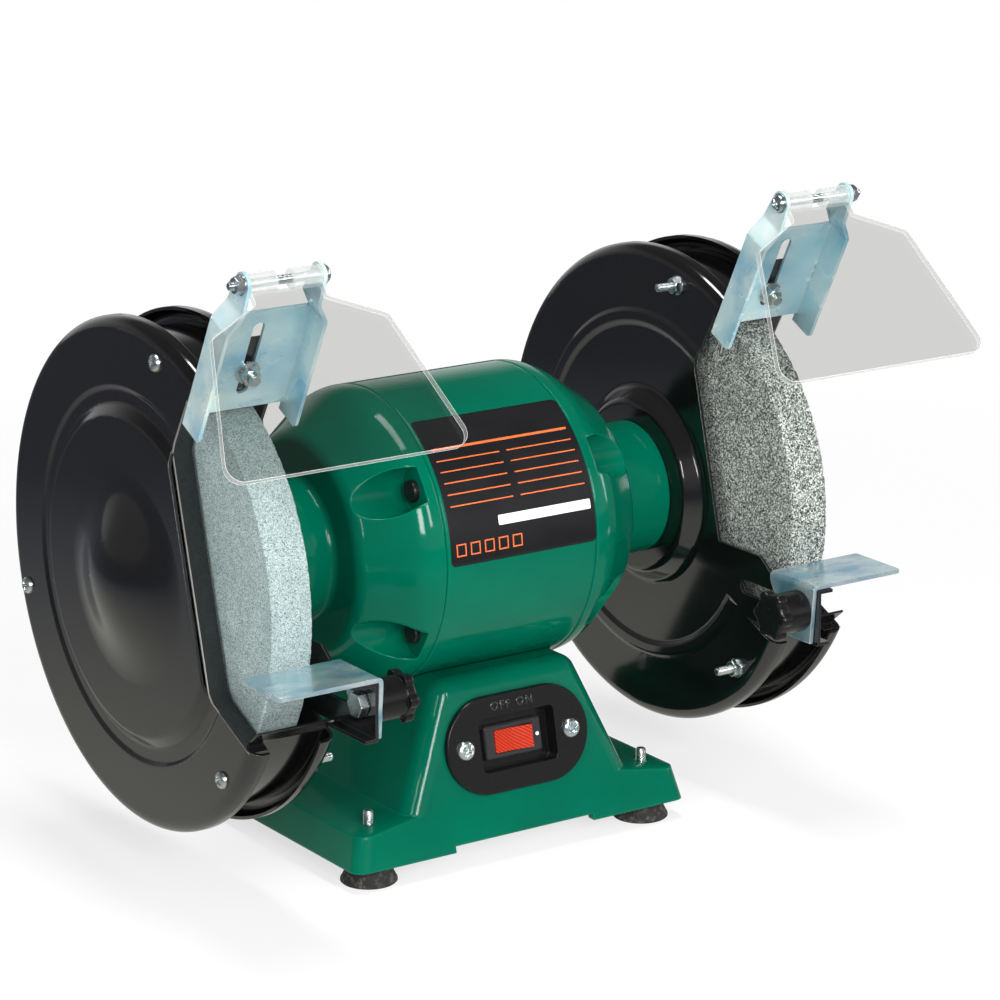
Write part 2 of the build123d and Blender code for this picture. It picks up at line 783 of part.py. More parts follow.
def eye_shield(side):
    middle = pivot_location(side).position
    tilt = radians(shield_tilt[side])
    down = Vector(0, -cos(tilt), -sin(tilt))
    plane = Plane(middle, x_dir=(1, 0, 0), z_dir=down.cross(Vector(1, 0, 0)))
    inside = ear_spread / 2 - bracket_sheet - body_gap
    top = -knuckle_diameter / 2 - body_gap
    half_outline = ((inside, top, 0), (inside, -shield_neck_drop, shield_neck_radius),
                    (shield_shoulder_half, -shield_shoulder_drop, shield_shoulder_radius),
                    (shield_bottom_half, -shield_length, shield_corner_radius))
    other_half = [(-x, y, radius) for x, y, radius in reversed(half_outline)]
    sheet_body = extrude(rounded(*half_outline, *other_half), amount=shield_thickness / 2, both=True)
    bore = pivot_screw_diameter / 2 + running_clearance
    knuckle = Circle(knuckle_diameter / 2) - Circle(bore)
    web = Pos(-knuckle_diameter / 4 - bore / 2, 0) * Rectangle(knuckle_diameter / 2, shield_thickness)
    knuckle += web - Circle(bore)
    barrel = slab_x(knuckle, knuckle_gap / 2, inside)
    return plane * (sheet_body + barrel + mirror(barrel, about=Plane.YZ))


def pivot_screw(side):
    grip = ear_spread / 2 + washer_thickness
    length = 2 * grip + pivot_nut_thickness + pivot_screw_past_nut
    screw = Pos(-grip, 0, 0) * Rot(0, -90, 0) * pan_screw(pivot_screw_diameter, length)
    return pivot_location(side) * screw


def pivot_nut(side):
    disc = washer(pivot_screw_diameter)
    nut = hex_nut(pivot_nut_across_flats, pivot_nut_thickness, pivot_screw_diameter)
    ear_x = ear_spread / 2
    place = pivot_location(side)
    return Compound([place * Pos(ear_x, 0, 0) * Rot(0, 90, 0) * disc,
                     place * Pos(-ear_x, 0, 0) * Rot(0, -90, 0) * disc,
                     place * Pos(ear_x + washer_thickness, 0, 0) * Rot(0, 90, 0) * nut])


# Tool rests
def table_back(side):
    return sqrt((wheel_radius + rest_gap[side]) ** 2 - table_top_drop ** 2)


def rest_bolt_y(side):
    return -(table_back(side) + table_depth - rest_bolt_set_back)


def tool_rest(side):
    """A bent plate: the table over the guard's tab and a tapering leg against the tab's motor side."""
    leg_x = plate_x - body_gap
    back = table_back(side)
    front = back + table_depth
    line = FilletPolyline((leg_x - rest_sheet, -leg_foot_drop), (leg_x - rest_sheet, -table_top_drop),
                          (plate_x + table_reach, -table_top_drop), radius=rest_sheet + rest_bend_radius)
    section = make_face(offset(line, amount=rest_sheet, side=Side.RIGHT).edges())
    blank = extrude(Plane.XZ.offset(back) * section, amount=table_depth, dir=(0, -1, 0))
    leg_front = front - leg_front_rake
    leg_back = leg_front - leg_foot_width
    leg_top_z = -table_top_drop - 2 * rest_sheet
    taper = Polygon((-back, leg_top_z), (-back, -leg_foot_drop), (-leg_back, -leg_foot_drop), align=None)
    rake = Polygon((-front, leg_top_z), (-front, -leg_foot_drop), (-leg_front, -leg_foot_drop), align=None)
    cutter = slab_x(taper, leg_x - 2 * rest_sheet, plate_x + rest_sheet)
    cutter += slab_x(rake, leg_x - 2 * rest_sheet, plate_x + rest_sheet)
    blank -= cutter
    corners = blank.edges().filter_by(Axis.Z).sort_by(Axis.X)[-2:]
    blank = fillet(corners, rest_corner_radius)
    hole = rest_bolt_diameter / 2 + running_clearance
    return blank - rod_x(leg_x - 2 * rest_sheet, plate_x, hole, rest_bolt_y(side), -rest_bolt_drop)


rest_leg_face_x = plate_x - body_gap - rest_sheet
knob_seat_x = rest_leg_face_x - body_gap
knob_end_x = knob_seat_x - knob_neck_length - knob_star_thickness


def rest_bolt(side):
    head_x = plate_inside_x + body_gap
    bolt = slab_x(hexagon(rest_bolt_across_flats), head_x, head_x + rest_bolt_head)
    bolt += rod_x(knob_end_x + knob_star_thickness, head_x, rest_bolt_diameter / 2)
    return Pos(0, rest_bolt_y(side), -rest_bolt_drop) * bolt


def rest_knob(side):
    neck_end = knob_seat_x - knob_neck_length
    lobe_circle = knob_star_diameter / 2 - knob_lobe_radius
    star = Circle(lobe_circle + knob_scallop_rise)
    star += PolarLocations(lobe_circle, knob_lobes) * Circle(knob_lobe_radius)
    knob = slab_x(star, knob_end_x, neck_end)
    knob = fillet(knob.faces().sort_by(Axis.X)[0].edges(), knob_edge_radius)
    knob += rod_x(neck_end, knob_seat_x, knob_neck_diameter / 2)
    knob -= rod_x(neck_end - body_gap, knob_seat_x, rest_bolt_diameter / 2 + thread_clearance)
    return Pos(0, rest_bolt_y(side), -rest_bolt_drop) * knob


# Pedestal
ledge_outer_z = skirt_height - base_height
ledge_inner_z = ledge_outer_z + ledge_rise


def half_depth(z):
    """Half the pedestal's depth at a height: its front and back faces lean in evenly."""
    return base_half_depth - base_lean * (z + base_height)


def pedestal_block(inset, top_z):
    """The pedestal's outer form, or its hollow when inset, in three tapering stages."""
    levels = ((-base_height, base_half_length, skirt_corner_radius),
              (ledge_outer_z - inset, ledge_half_length, skirt_corner_radius),
              (ledge_inner_z - inset, waist_half_length, body_corner_radius),
              (-shoulder_drop, shoulder_half_length, body_corner_radius))
    sections = []
    for z, half_length, corner in levels:
        width = 2 * (half_length - inset)
        depth = 2 * (half_depth(z) - inset)
        sections.append(Pos(0, 0, z) * RectangleRounded(width, depth, corner - inset / 2))
    block = loft(sections[0:2], ruled=True)
    block += loft(sections[1:3], ruled=True)
    block += loft(sections[2:4], ruled=True)
    size = 4 * base_half_length
    return block - Pos(0, 0, top_z + size / 2) * Box(size, size, size)


def switch_plane():
    """The pedestal's leaning front face at the switch: x right, y up the face, z outwards."""
    origin = (0, -half_depth(-switch_drop), -switch_drop)
    return Plane(origin, x_dir=(1, 0, 0), z_dir=(0, -1, base_lean))


def inlet_plane():
    origin = (0, half_depth(-inlet_drop), -inlet_drop)
    return Plane(origin, x_dir=(-1, 0, 0), z_dir=(0, 1, base_lean))


def foot_places():
    return [(x, y) for x in halves(foot_spread_x) for y in halves(foot_spread_y)]


bottom_plate_z = notch_height - base_height + seat_gap
roof_z = -tube_radius - cavity_roof


def base_pedestal():
    block = pedestal_block(0, 0)
    block = fillet(block.faces().sort_by(Axis.Z)[-1].edges(), base_top_radius)
    block -= pedestal_block(base_wall, roof_z)
    boss = extrude(Circle(foot_boss_radius), amount=skirt_height - base_wall / 2)
    foot_hole = Cylinder(foot_screw_diameter / 2 + thread_clearance, 4 * skirt_height)
    for x, y in foot_places():
        block += Pos(x, y, -base_height) * boss
        block -= Pos(x, y, -base_height) * foot_hole
    post_foot = bottom_plate_z + bottom_plate_thickness
    post = extrude(Circle(post_radius), amount=roof_z + cavity_roof / 2 - post_foot)
    post -= Cylinder(plate_screw_diameter / 2 + thread_clearance, 2 * plate_screw_depth + 2 * body_gap)
    for x in halves(post_spread):
        block += Pos(x, 0, post_foot) * post
    block -= rod_x(-base_half_length, base_half_length, tube_radius + seat_gap)
    for x in halves(motor_screw_spread):
        block -= Pos(x, 0, roof_z) * Cylinder(motor_screw_diameter / 2 + running_clearance, 6 * cavity_roof)
    block -= Pos(0, 0, -base_height) * Box(2 * notch_half_length, 4 * base_half_depth, 2 * notch_height)
    return block - front_cuts() - inlet_plane() * Cylinder(inlet_hole / 2, 6 * base_wall)


def front_cuts():
    """The window behind the switch plate and the two holes for its screws."""
    margin = 2 * tray_wall + body_gap
    window = RectangleRounded(tray_length + margin, tray_height + margin, tray_corner_radius)
    cuts = Pos(0, 0, -3 * base_wall) * extrude(window, amount=4 * base_wall)
    for x in halves(switch_screw_spread):
        cuts += Pos(x, 0, 0) * Cylinder(switch_screw_diameter / 2 + thread_clearance, 6 * base_wall)
    return switch_plane() * cuts


def rubber_feet():
    tread = foot_diameter / 2 - foot_taper
    foot = Pos(0, 0, foot_height / 2) * Cone(tread, foot_diameter / 2, foot_height)
    foot = fillet(foot.edges().sort_by(Axis.Z)[0], foot_edge_radius)
    foot -= Cylinder(foot_recess_diameter / 2, 2 * foot_recess_depth)
    foot -= Cylinder(foot_screw_diameter / 2 + thread_clearance, 4 * foot_height)
    return Compound([Pos(x, y, -shaft_height) * foot for x, y in foot_places()])


def foot_screws():
    top_z = ledge_outer_z + ledge_rise / 2 + foot_screw_proud
    seat_z = foot_recess_depth - shaft_height
    screw = Rot(180, 0, 0) * pan_screw(foot_screw_diameter, top_z - seat_z)
    return Compound([Pos(x, y, seat_z) * screw for x, y in foot_places()])


def bottom_plate_half_depth():
    return half_depth(bottom_plate_z) - base_wall - 2 * body_gap


def base_bottom_plate():
    face = RectangleRounded(2 * bottom_plate_half_length, 2 * bottom_plate_half_depth(), bottom_plate_corner)
    for x in halves(post_spread):
        face -= Pos(x, 0) * Circle(plate_screw_diameter / 2 + running_clearance)
    return Pos(0, 0, bottom_plate_z) * extrude(face, amount=bottom_plate_thickness)


def bottom_plate_screws():
    screw = Rot(180, 0, 0) * pan_screw(plate_screw_diameter, bottom_plate_thickness + plate_screw_depth)
    return Compound([Pos(x, 0, bottom_plate_z) * screw for x in halves(post_spread)])


def motor_screws():
    screw = Rot(180, 0, 0) * pan_screw(motor_screw_diameter, cavity_roof + tube_wall - body_gap)
    return Compound([Pos(x, 0, roof_z) * screw for x in halves(motor_screw_spread)])


# Switch
def switch_plate():
    outline = SlotOverall(switch_plate_length, switch_plate_height)
    plate = extrude(outline, amount=switch_plate_thickness)
    plate = chamfer(plate.faces().sort_by(Axis.Z)[-1].edges(), switch_plate_bevel)
    tray = RectangleRounded(tray_length + 2 * tray_wall, tray_height + 2 * tray_wall, tray_corner_radius)
    plate += extrude(tray, amount=-tray_depth - tray_wall)
    well = RectangleRounded(tray_length, tray_height, tray_corner_radius)
    plate -= Pos(0, 0, -tray_depth) * extrude(well, amount=2 * tray_depth)
    plate -= Box(switch_can_length + 2 * body_gap, switch_can_height + 2 * body_gap, 4 * tray_depth)
    for x in halves(switch_screw_spread):
        plate -= Pos(x, 0, 0) * Cylinder(switch_screw_diameter / 2 + running_clearance, 4 * tray_depth)
    return switch_plane() * plate


def switch_plate_screws():
    screw = pan_screw(switch_screw_diameter, switch_plate_thickness + base_wall)
    return Compound([switch_plane() * Pos(x, 0, switch_plate_thickness) * screw
                     for x in halves(switch_screw_spread)])


rocker_pivot_depth = tray_depth - rocker_pivot_rise


def switch_body():
    bezel = extrude(RectangleRounded(bezel_length, bezel_height, bezel_corner), amount=bezel_thickness)
    bezel = chamfer(bezel.faces().sort_by(Axis.Z)[-1].edges(), bezel_bevel)
    body = bezel + extrude(Rectangle(switch_can_length, switch_can_height), amount=-switch_can_depth)
    blade = extrude(Rectangle(blade_thickness, blade_width), amount=-switch_can_depth - blade_length)
    for x in (-blade_pitch, 0, blade_pitch):
        body += Pos(x, 0, 0) * blade
    mouth = Rectangle(rocker_length + 2 * body_gap, rocker_height + 2 * body_gap)
    body -= Pos(0, 0, -rocker_well_depth) * extrude(mouth, amount=rocker_well_depth + bezel_thickness)
    return switch_plane() * Pos(0, 0, -tray_depth) * body


def switch_rocker():
    """A rocker with a shallow V face whose ends are arcs about its pivot."""
    tip = rocker_length / 2
    face = Polygon((-tip, rocker_edge_low), (0, -rocker_keel), (tip, rocker_edge_low), (tip, rocker_end_rise),
                   (0, rocker_middle_rise), (-tip, rocker_end_rise), align=None)
    profile = face & Circle(tip)
    rocker = extrude(profile, amount=rocker_height / 2, both=True)
    rocker = Rot(0, -rocker_throw, 0) * Rot(90, 0, 0) * rocker
    return switch_plane() * Pos(0, 0, -rocker_pivot_depth) * rocker


# Capacitor on the bottom plate, and the grommet at the back where a lead goes in
capacitor_z = bottom_plate_z + bottom_plate_thickness + capacitor_diameter / 2


def capacitor():
    can = rod_x(-capacitor_length / 2, capacitor_length / 2, capacitor_diameter / 2 - body_gap)
    can = fillet(can.edges(), capacitor_edge_radius)
    for z in halves(capacitor_blade_pitch):
        can += Pos(capacitor_length / 2, 0, z) * Box(2 * blade_length, blade_thickness, blade_width)
    return Pos(0, capacitor_set_back, capacitor_z - body_gap) * can


def capacitor_clamp():
    radius = capacitor_diameter / 2
    band = Circle(radius + clamp_band_thickness) - Circle(radius)
    band -= Pos(0, -radius) * Rectangle(4 * radius, 2 * radius)
    foot = Rectangle(clamp_foot_length, clamp_band_thickness, align=(Align.MIN, Align.MIN))
    wall = Rectangle(clamp_band_thickness, radius, align=(Align.MIN, Align.MAX))
    arm = Pos(radius, 0) * wall + Pos(radius, -radius) * foot
    strap = band + arm + mirror(arm, about=Plane.YZ)
    return slab_x(Pos(capacitor_set_back, capacitor_z) * strap, -clamp_band_width / 2, clamp_band_width / 2)


def cord_grommet():
    half_bore = inlet_bore / 2
    groove = inlet_hole / 2 - thread_clearance
    collar = inlet_collar / 2
    wall = base_wall + 2 * thread_clearance
    inner_end = -wall - inlet_collar_thickness
    ring = rounded((half_bore, inlet_collar_thickness, inlet_edge_radius),
                   (collar, inlet_collar_thickness, inlet_edge_radius), (collar, thread_clearance, 0),
                   (groove, thread_clearance, 0), (groove, -wall, 0), (collar - inlet_edge_radius, -wall, 0),
                   (groove, inner_end, 0), (half_bore, inner_end, 0))
    return inlet_plane() * revolve(Plane.XZ * ring, Axis.Z)


# Assembly
nodes = {
    "base_pedestal": base_pedestal(),
    "base_bottom_plate": base_bottom_plate(),
    "bottom_plate_screws": bottom_plate_screws(),
    "rubber_feet": rubber_feet(),
    "foot_screws": foot_screws(),
    "motor_screws": motor_screws(),
    "switch_plate": switch_plate(),
    "switch_plate_screws": switch_plate_screws(),
    "switch_body": switch_body(),
    "switch_rocker": switch_rocker(),
    "capacitor": capacitor(),
    "capacitor_clamp": capacitor_clamp(),
    "cord_grommet": cord_grommet(),
    "motor_tube": motor_tube(),
    "bell_screws": bell_screws(),
    "stator_core": stator_core(),
    "stator_windings": stator_windings(),
    "guard_screws": guard_screws(),
    "guard_nuts": guard_nuts(),
    "hub_screws": hub_screws(),
    "shield_clamp_bolts": clamp_bolts(),
    "shield_clamp_nuts": clamp_nuts(),
    "shaft": shaft(),
    "rotor_core": rotor_core(),
    "rotor_end_rings": rotor_end_rings(),
    "wheel_blotters": blotters(),
    "wheel_inner_flanges": Compound(both_sides(clamp_flange(wheel_near_x - blotter_thickness, -1))),
    "wheel_outer_flanges": Compound(both_sides(clamp_flange(wheel_far_x + blotter_thickness, 1))),
    "wheel_nuts": wheel_nuts(),
}
for side, sign in sides:
    nodes[f"{side}_end_bell"] = on_side(sign, end_bell())
    nodes[f"{side}_bearing_outer_ring"] = on_side(sign, bearing_outer_ring())
    nodes[f"{side}_bearing_inner_ring"] = on_side(sign, bearing_inner_ring())
    nodes[f"{side}_bearing_balls"] = Compound([on_side(sign, ball) for ball in bearing_balls()])
    nodes[f"{side}_inner_guard_plate"] = on_side(sign, inner_guard_plate())
    nodes[f"{side}_guard_band"] = on_side(sign, guard_band())
    nodes[f"{side}_outer_cover"] = on_side(sign, outer_cover())
    nodes[f"{side}_grinding_wheel"] = on_side(sign, grinding_wheel())
    nodes[f"{side}_shield_bracket"] = on_side(sign, shield_bracket(side))
    nodes[f"{side}_eye_shield"] = on_side(sign, eye_shield(side))
    nodes[f"{side}_pivot_screw"] = on_side(sign, pivot_screw(side))
    nodes[f"{side}_pivot_nut"] = Compound([on_side(sign, piece) for piece in pivot_nut(side).solids()])
    nodes[f"{side}_tool_rest"] = on_side(sign, tool_rest(side))
    nodes[f"{side}_rest_bolt"] = on_side(sign, rest_bolt(side))
    nodes[f"{side}_rest_knob"] = on_side(sign, rest_knob(side))

os.makedirs("parts", exist_ok=True)
for name, shape in nodes.items():
    export_step(Pos(0, 0, shaft_height) * shape, f"parts/{name}.step")
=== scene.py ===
import random
from math import cos, hypot, pi, radians, sin, sqrt

import bmesh
import bpy
from mathutils import Matrix, Vector


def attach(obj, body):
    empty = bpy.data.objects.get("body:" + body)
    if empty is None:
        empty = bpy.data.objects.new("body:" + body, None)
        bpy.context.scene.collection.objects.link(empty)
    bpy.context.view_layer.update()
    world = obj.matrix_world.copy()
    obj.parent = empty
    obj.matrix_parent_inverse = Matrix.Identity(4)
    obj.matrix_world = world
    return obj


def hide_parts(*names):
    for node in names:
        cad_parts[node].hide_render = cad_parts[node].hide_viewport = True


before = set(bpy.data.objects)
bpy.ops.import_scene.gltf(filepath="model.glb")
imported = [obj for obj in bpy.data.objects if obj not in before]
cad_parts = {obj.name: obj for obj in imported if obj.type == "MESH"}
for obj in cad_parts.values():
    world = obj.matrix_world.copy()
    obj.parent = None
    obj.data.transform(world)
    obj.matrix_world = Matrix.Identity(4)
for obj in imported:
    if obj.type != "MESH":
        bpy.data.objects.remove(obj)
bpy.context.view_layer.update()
MM = 0.001

# The studio
# A white paper floor that keeps a soft shadow and a white surround that is dimmer overhead and on the left.
# A soft box hangs above, strips stand at both sides and beside the long lens, which looks from the left.
CAMERA_PLACE = Vector((-939.06, -1431.12, 624.73)) * MM
CAMERA_TARGET = Vector((34.55, 0.0, 143.78)) * MM
LENS_MM = 138.9
FRAME_SHIFT_UP = 0.0057
SURROUND_LIGHT = 0.21
HORIZON_MIRRORED = 0.85
LEFT_MIRRORED = 0.2
OVERHEAD_MIRRORED = 0.1
LEFT_TURN = (-0.55, 0.1)
OVERHEAD_TURN = (0.26, 0.5)
FLOOR_HALF = 12.0
# Each with the two distances in metres from the middle of the floor, and the strengths there.
FLOOR_MIRRORED = (0.2, 0.8, 0.66, 0.15)
FLOOR_COOLING = (0.35, 0.7, 0.0, 1.0)
FLOOR_WHITENING = (0.3, 0.9, 0.68, 1.0)


def linear(code):
    """A linear colour from an sRGB hex value."""
    parts = [int(code[i:i + 2], 16) / 255 for i in (0, 2, 4)]
    return [c / 12.92 if c <= 0.04045 else ((c + 0.055) / 1.055) ** 2.4 for c in parts] + [1.0]


def add_node(tree, kind, inputs=None, **settings):
    """A node with its settings, its sockets set to values or linked from other sockets."""
    made = tree.nodes.new(kind)
    for name, value in settings.items():
        setattr(made, name, value)
    for name, value in (inputs or {}).items():
        if isinstance(value, bpy.types.NodeSocket):
            tree.links.new(value, made.inputs[name])
        else:
            made.inputs[name].default_value = value
    return made


def by_ray(tree, plain, mirrored, seen):
    """Strengths for light on the object, for what gloss mirrors, and for the lens and clear pieces."""
    path = add_node(tree, "ShaderNodeLightPath")
    seen_rays = {0: path.outputs["Is Camera Ray"], 1: path.outputs["Is Transmission Ray"]}
    direct = add_node(tree, "ShaderNodeMath", seen_rays, operation="MAXIMUM")
    strength = add_node(tree, "ShaderNodeMix", {0: path.outputs["Is Glossy Ray"], 2: plain, 3: mirrored})
    strength = add_node(tree, "ShaderNodeMix", {0: direct.outputs[0], 2: strength.outputs[0], 3: seen})
    return strength.outputs[0]


def faded(tree, value, near, far, at_near, at_far):
    """A strength that goes from one value to another as the given value goes from near to far."""
    return add_node(tree, "ShaderNodeMapRange", {"Value": value, "From Min": near, "From Max": far,
                                                 "To Min": at_near, "To Max": at_far}).outputs[0]


world = bpy.data.worlds.new("white_surround")
bpy.context.scene.world = world
world.use_nodes = True
tree = world.node_tree
direction = add_node(tree, "ShaderNodeTexCoord").outputs["Generated"]
towards = add_node(tree, "ShaderNodeSeparateXYZ", {0: direction})
horizon = faded(tree, towards.outputs["X"], *LEFT_TURN, LEFT_MIRRORED, HORIZON_MIRRORED)
dusk = faded(tree, towards.outputs["Z"], *OVERHEAD_TURN, horizon, OVERHEAD_MIRRORED)
surround = tree.nodes["Background"]
surround.inputs["Color"].default_value = linear("ffffff")
tree.links.new(by_ray(tree, SURROUND_LIGHT, dusk, 1.0), surround.inputs["Strength"])

# Matt white paper that gloss mirrors as a pale sheet, warm close by and cooler further off.
floor_paper = bpy.data.materials.new("white_floor_paper")
floor_paper.use_nodes = True
tree = floor_paper.node_tree
tree.nodes.remove(tree.nodes["Principled BSDF"])
spot = add_node(tree, "ShaderNodeNewGeometry").outputs["Position"]
away = add_node(tree, "ShaderNodeVectorMath", {0: spot}, operation="LENGTH").outputs["Value"]
matt = add_node(tree, "ShaderNodeBsdfDiffuse", {"Color": linear("f4f4f4")})
white = by_ray(tree, 0.0, faded(tree, away, *FLOOR_MIRRORED), 1.0)
warm = add_node(tree, "ShaderNodeMix", {0: faded(tree, away, *FLOOR_COOLING), 6: linear("f7f7ee"),
                                        7: linear("e2e6f6")}, data_type="RGBA").outputs[2]
path = add_node(tree, "ShaderNodeLightPath").outputs["Is Glossy Ray"]
hue = add_node(tree, "ShaderNodeMix", {0: path, 6: linear("ffffff"), 7: warm}, data_type="RGBA").outputs[2]
glow = add_node(tree, "ShaderNodeEmission", {"Color": hue, "Strength": white})
share = by_ray(tree, 0.0, 1.0, faded(tree, away, *FLOOR_WHITENING))
whole = add_node(tree, "ShaderNodeMixShader", {0: share, 1: matt.outputs[0], 2: glow.outputs[0]})
tree.links.new(whole.outputs[0], tree.nodes["Material Output"].inputs["Surface"])
floor_mesh = bpy.data.meshes.new("floor")
floor_mesh.from_pydata([(-FLOOR_HALF, -FLOOR_HALF, 0), (FLOOR_HALF, -FLOOR_HALF, 0),
                        (FLOOR_HALF, FLOOR_HALF, 0), (-FLOOR_HALF, FLOOR_HALF, 0)], [], [(0, 1, 2, 3)])
floor_mesh.materials.append(floor_paper)
sweep = bpy.data.objects.new("floor", floor_mesh)
bpy.context.scene.collection.objects.link(sweep)


def aim(thing, place, target):
    thing.location = place
    thing.rotation_euler = (Vector(target) - Vector(place)).to_track_quat("-Z", "Y").to_euler()


def soft_box(name, place, width, height, power, mirrored=True):
    lamp = bpy.data.lights.new(name, "AREA")
    lamp.shape = "RECTANGLE"
    lamp.size = width
    lamp.size_y = height
    lamp.energy = power
    holder = bpy.data.objects.new(name, lamp)
    holder.visible_glossy = mirrored
    bpy.context.scene.collection.objects.link(holder)
    aim(holder, place, CAMERA_TARGET)


soft_box("top_box", (0.0, 0.0, 1.6), 0.9, 0.3, 15)
soft_box("left_strip", (-1.75, -0.75, 0.9), 0.2, 1.1, 12, mirrored=False)
soft_box("front_box", (0.15, -1.8, 1.0), 0.16, 0.7, 12)
soft_box("flash_strip", (-0.58, -1.75, 0.8), 0.34, 0.6, 25)
soft_box("side_flash_strip", (-1.4, -1.2, 0.8), 0.09, 0.6, 5)
soft_box("right_strip", (1.7, -0.7, 0.7), 0.25, 1.0, 9)

lens = bpy.data.cameras.new("camera")
lens.lens = LENS_MM
lens.shift_y = FRAME_SHIFT_UP
camera = bpy.data.objects.new("camera", lens)
bpy.context.scene.collection.objects.link(camera)
aim(camera, CAMERA_PLACE, CAMERA_TARGET)
bpy.context.scene.camera = camera
bpy.context.scene.view_settings.view_transform = "Standard"


# Pedestal and motor housing
# Castings ground at the edges, sprayed deep green and stoved. The enamel keeps a fine orange peel that
# breaks up its highlights, and its sharp edges are painted lighter as a painted highlight.
def new_material(name):
    material = bpy.data.materials.new(name)
    material.use_nodes = True
    return material, material.node_tree, material.node_tree.nodes["Principled BSDF"]


def object_place(tree):
    return add_node(tree, "ShaderNodeTexCoord").outputs["Object"]


def noise(tree, size_mm, detail=2.0, roughness=0.5, stretch=(1, 1, 1)):
    """Cloudy noise whose patches are about size_mm across, stretched along the axes."""
    scale = [1 / s for s in stretch]
    spread = add_node(tree, "ShaderNodeMapping", {"Vector": object_place(tree), "Scale": scale})
    return add_node(tree, "ShaderNodeTexNoise", {"Vector": spread.outputs[0], "Scale": 1 / (size_mm * MM),
                                                 "Detail": detail, "Roughness": roughness}).outputs["Fac"]


def ranged(tree, value, low, high, from_low=0.3, from_high=0.7):
    """A noise's middle range stretched to a range of its own."""
    return faded(tree, value, from_low, from_high, low, high)


def mixed(tree, share, first, second):
    """A colour between two hex values or colour sockets."""
    first, second = [linear(c) if isinstance(c, str) else c for c in (first, second)]
    return add_node(tree, "ShaderNodeMix", {0: share, 6: first, 7: second}, data_type="RGBA").outputs[2]


def bumped(tree, height, depth_mm, strength=1.0, normal=None):
    sockets = {"Height": height, "Distance": depth_mm * MM, "Strength": strength}
    if normal:
        sockets["Normal"] = normal
    return add_node(tree, "ShaderNodeBump", sockets).outputs[0]


def rounded_edges(tree, radius_mm):
    """The surface's direction rounded over sharp edges, and a share that is 1 on such an edge."""
    rounded = add_node(tree, "ShaderNodeBevel", {"Radius": radius_mm * MM}, samples=6).outputs[0]
    plain = add_node(tree, "ShaderNodeNewGeometry").outputs["Normal"]
    agree = add_node(tree, "ShaderNodeVectorMath", {0: rounded, 1: plain}, operation="DOT_PRODUCT")
    return rounded, ranged(tree, agree.outputs["Value"], 1.0, 0.0, 0.8, 0.98)


def feed(tree, shader, **sockets):
    """Links sockets to the shader's inputs, or sets them where the value is constant."""
    for name, value in sockets.items():
        socket = shader.inputs[name.replace("_", " ")]
        if isinstance(value, bpy.types.NodeSocket):
            tree.links.new(value, socket)
        else:
            socket.default_value = value


def dress(material, *names):
    for name in names:
        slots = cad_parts[name].data.materials
        slots.clear()
        slots.append(material)


def enamel(name, lit, deep, edge_highlight, roughness, gloss, peel_mm, edge_mm):
    """Stoved gloss enamel: a film with an orange peel and faint haze, and a painted highlight on sharp
    edges.
    """
    material, tree, shader = new_material(name)
    haze = noise(tree, 45, detail=4.0)
    rounded, crease = rounded_edges(tree, edge_mm)
    colour = mixed(tree, ranged(tree, haze, 0.0, 1.0), lit, deep)
    # Sharp edges take the lighter colour: a painted highlight.
    feed(tree, shader, Base_Color=mixed(tree, crease, colour, edge_highlight), Specular_IOR_Level=gloss,
         Roughness=ranged(tree, haze, roughness * 0.8, roughness * 1.25),
         Normal=bumped(tree, noise(tree, peel_mm, detail=1.0), 0.003, 1.0, rounded))
    return material


# Deep bottle green with a low, tight gloss, and a painted highlight a little lighter along its edges.
green_enamel = enamel("green_enamel", "005f48", "005440", "00735a", 0.08, 0.16, 2.2, 1.4)
dress(green_enamel, "base_pedestal", "motor_tube", "left_end_bell", "right_end_bell")


# Motor plate
# A black foil plate glued round the front of the motor tube. Its maker's print is left off:
# it carries plain orange rules and the blank white strip for a number.
TUBE_RADIUS = 69.4
SHAFT_HEIGHT = 142.0
PLATE_X = (-38.5, 40.0)
PLATE_ANGLES = (0.5, 59.0)
PLATE_CORNER = 2.5
FOIL = 0.16
INK = FOIL + 0.02
SHARP_ANGLE = radians(38)


def made_piece(name, shape, material, body, slot, *stands_for):
    """A new piece from points in millimetres and their faces. It rides on a body of the frame."""
    points, faces = shape
    mesh = bpy.data.meshes.new(name)
    mesh.from_pydata([Vector(point) * MM for point in points], [], faces)
    return mesh_piece(name, mesh, material, body, slot, *stands_for)


def mesh_piece(name, mesh, material, body, slot, *stands_for):
    mesh.materials.clear()
    mesh.materials.append(material)
    mesh.shade_smooth()
    mesh.set_sharp_from_angle(angle=SHARP_ANGLE)
    made = bpy.data.objects.new(name, mesh)
    bpy.context.scene.collection.objects.link(made)
    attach(made, body)
    if stands_for:
        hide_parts(*stands_for)
    return made


def joined(shapes):
    """Several shapes as one."""
    points, faces = [], []
    for more_points, more_faces in shapes:
        start = len(points)
        points += more_points
        faces += [tuple(start + i for i in face) for face in more_faces]
    return points, faces


def grid_faces(rows, columns, closed):
    """Quads over rows of points, joined end to end where the rows are rings."""
    faces = []
    for i in range(rows - 1):
        for j in range(columns if closed else columns - 1):
            k = (j + 1) % columns
            faces.append((i * columns + j, i * columns + k, (i + 1) * columns + k, (i + 1) * columns + j))
    return faces


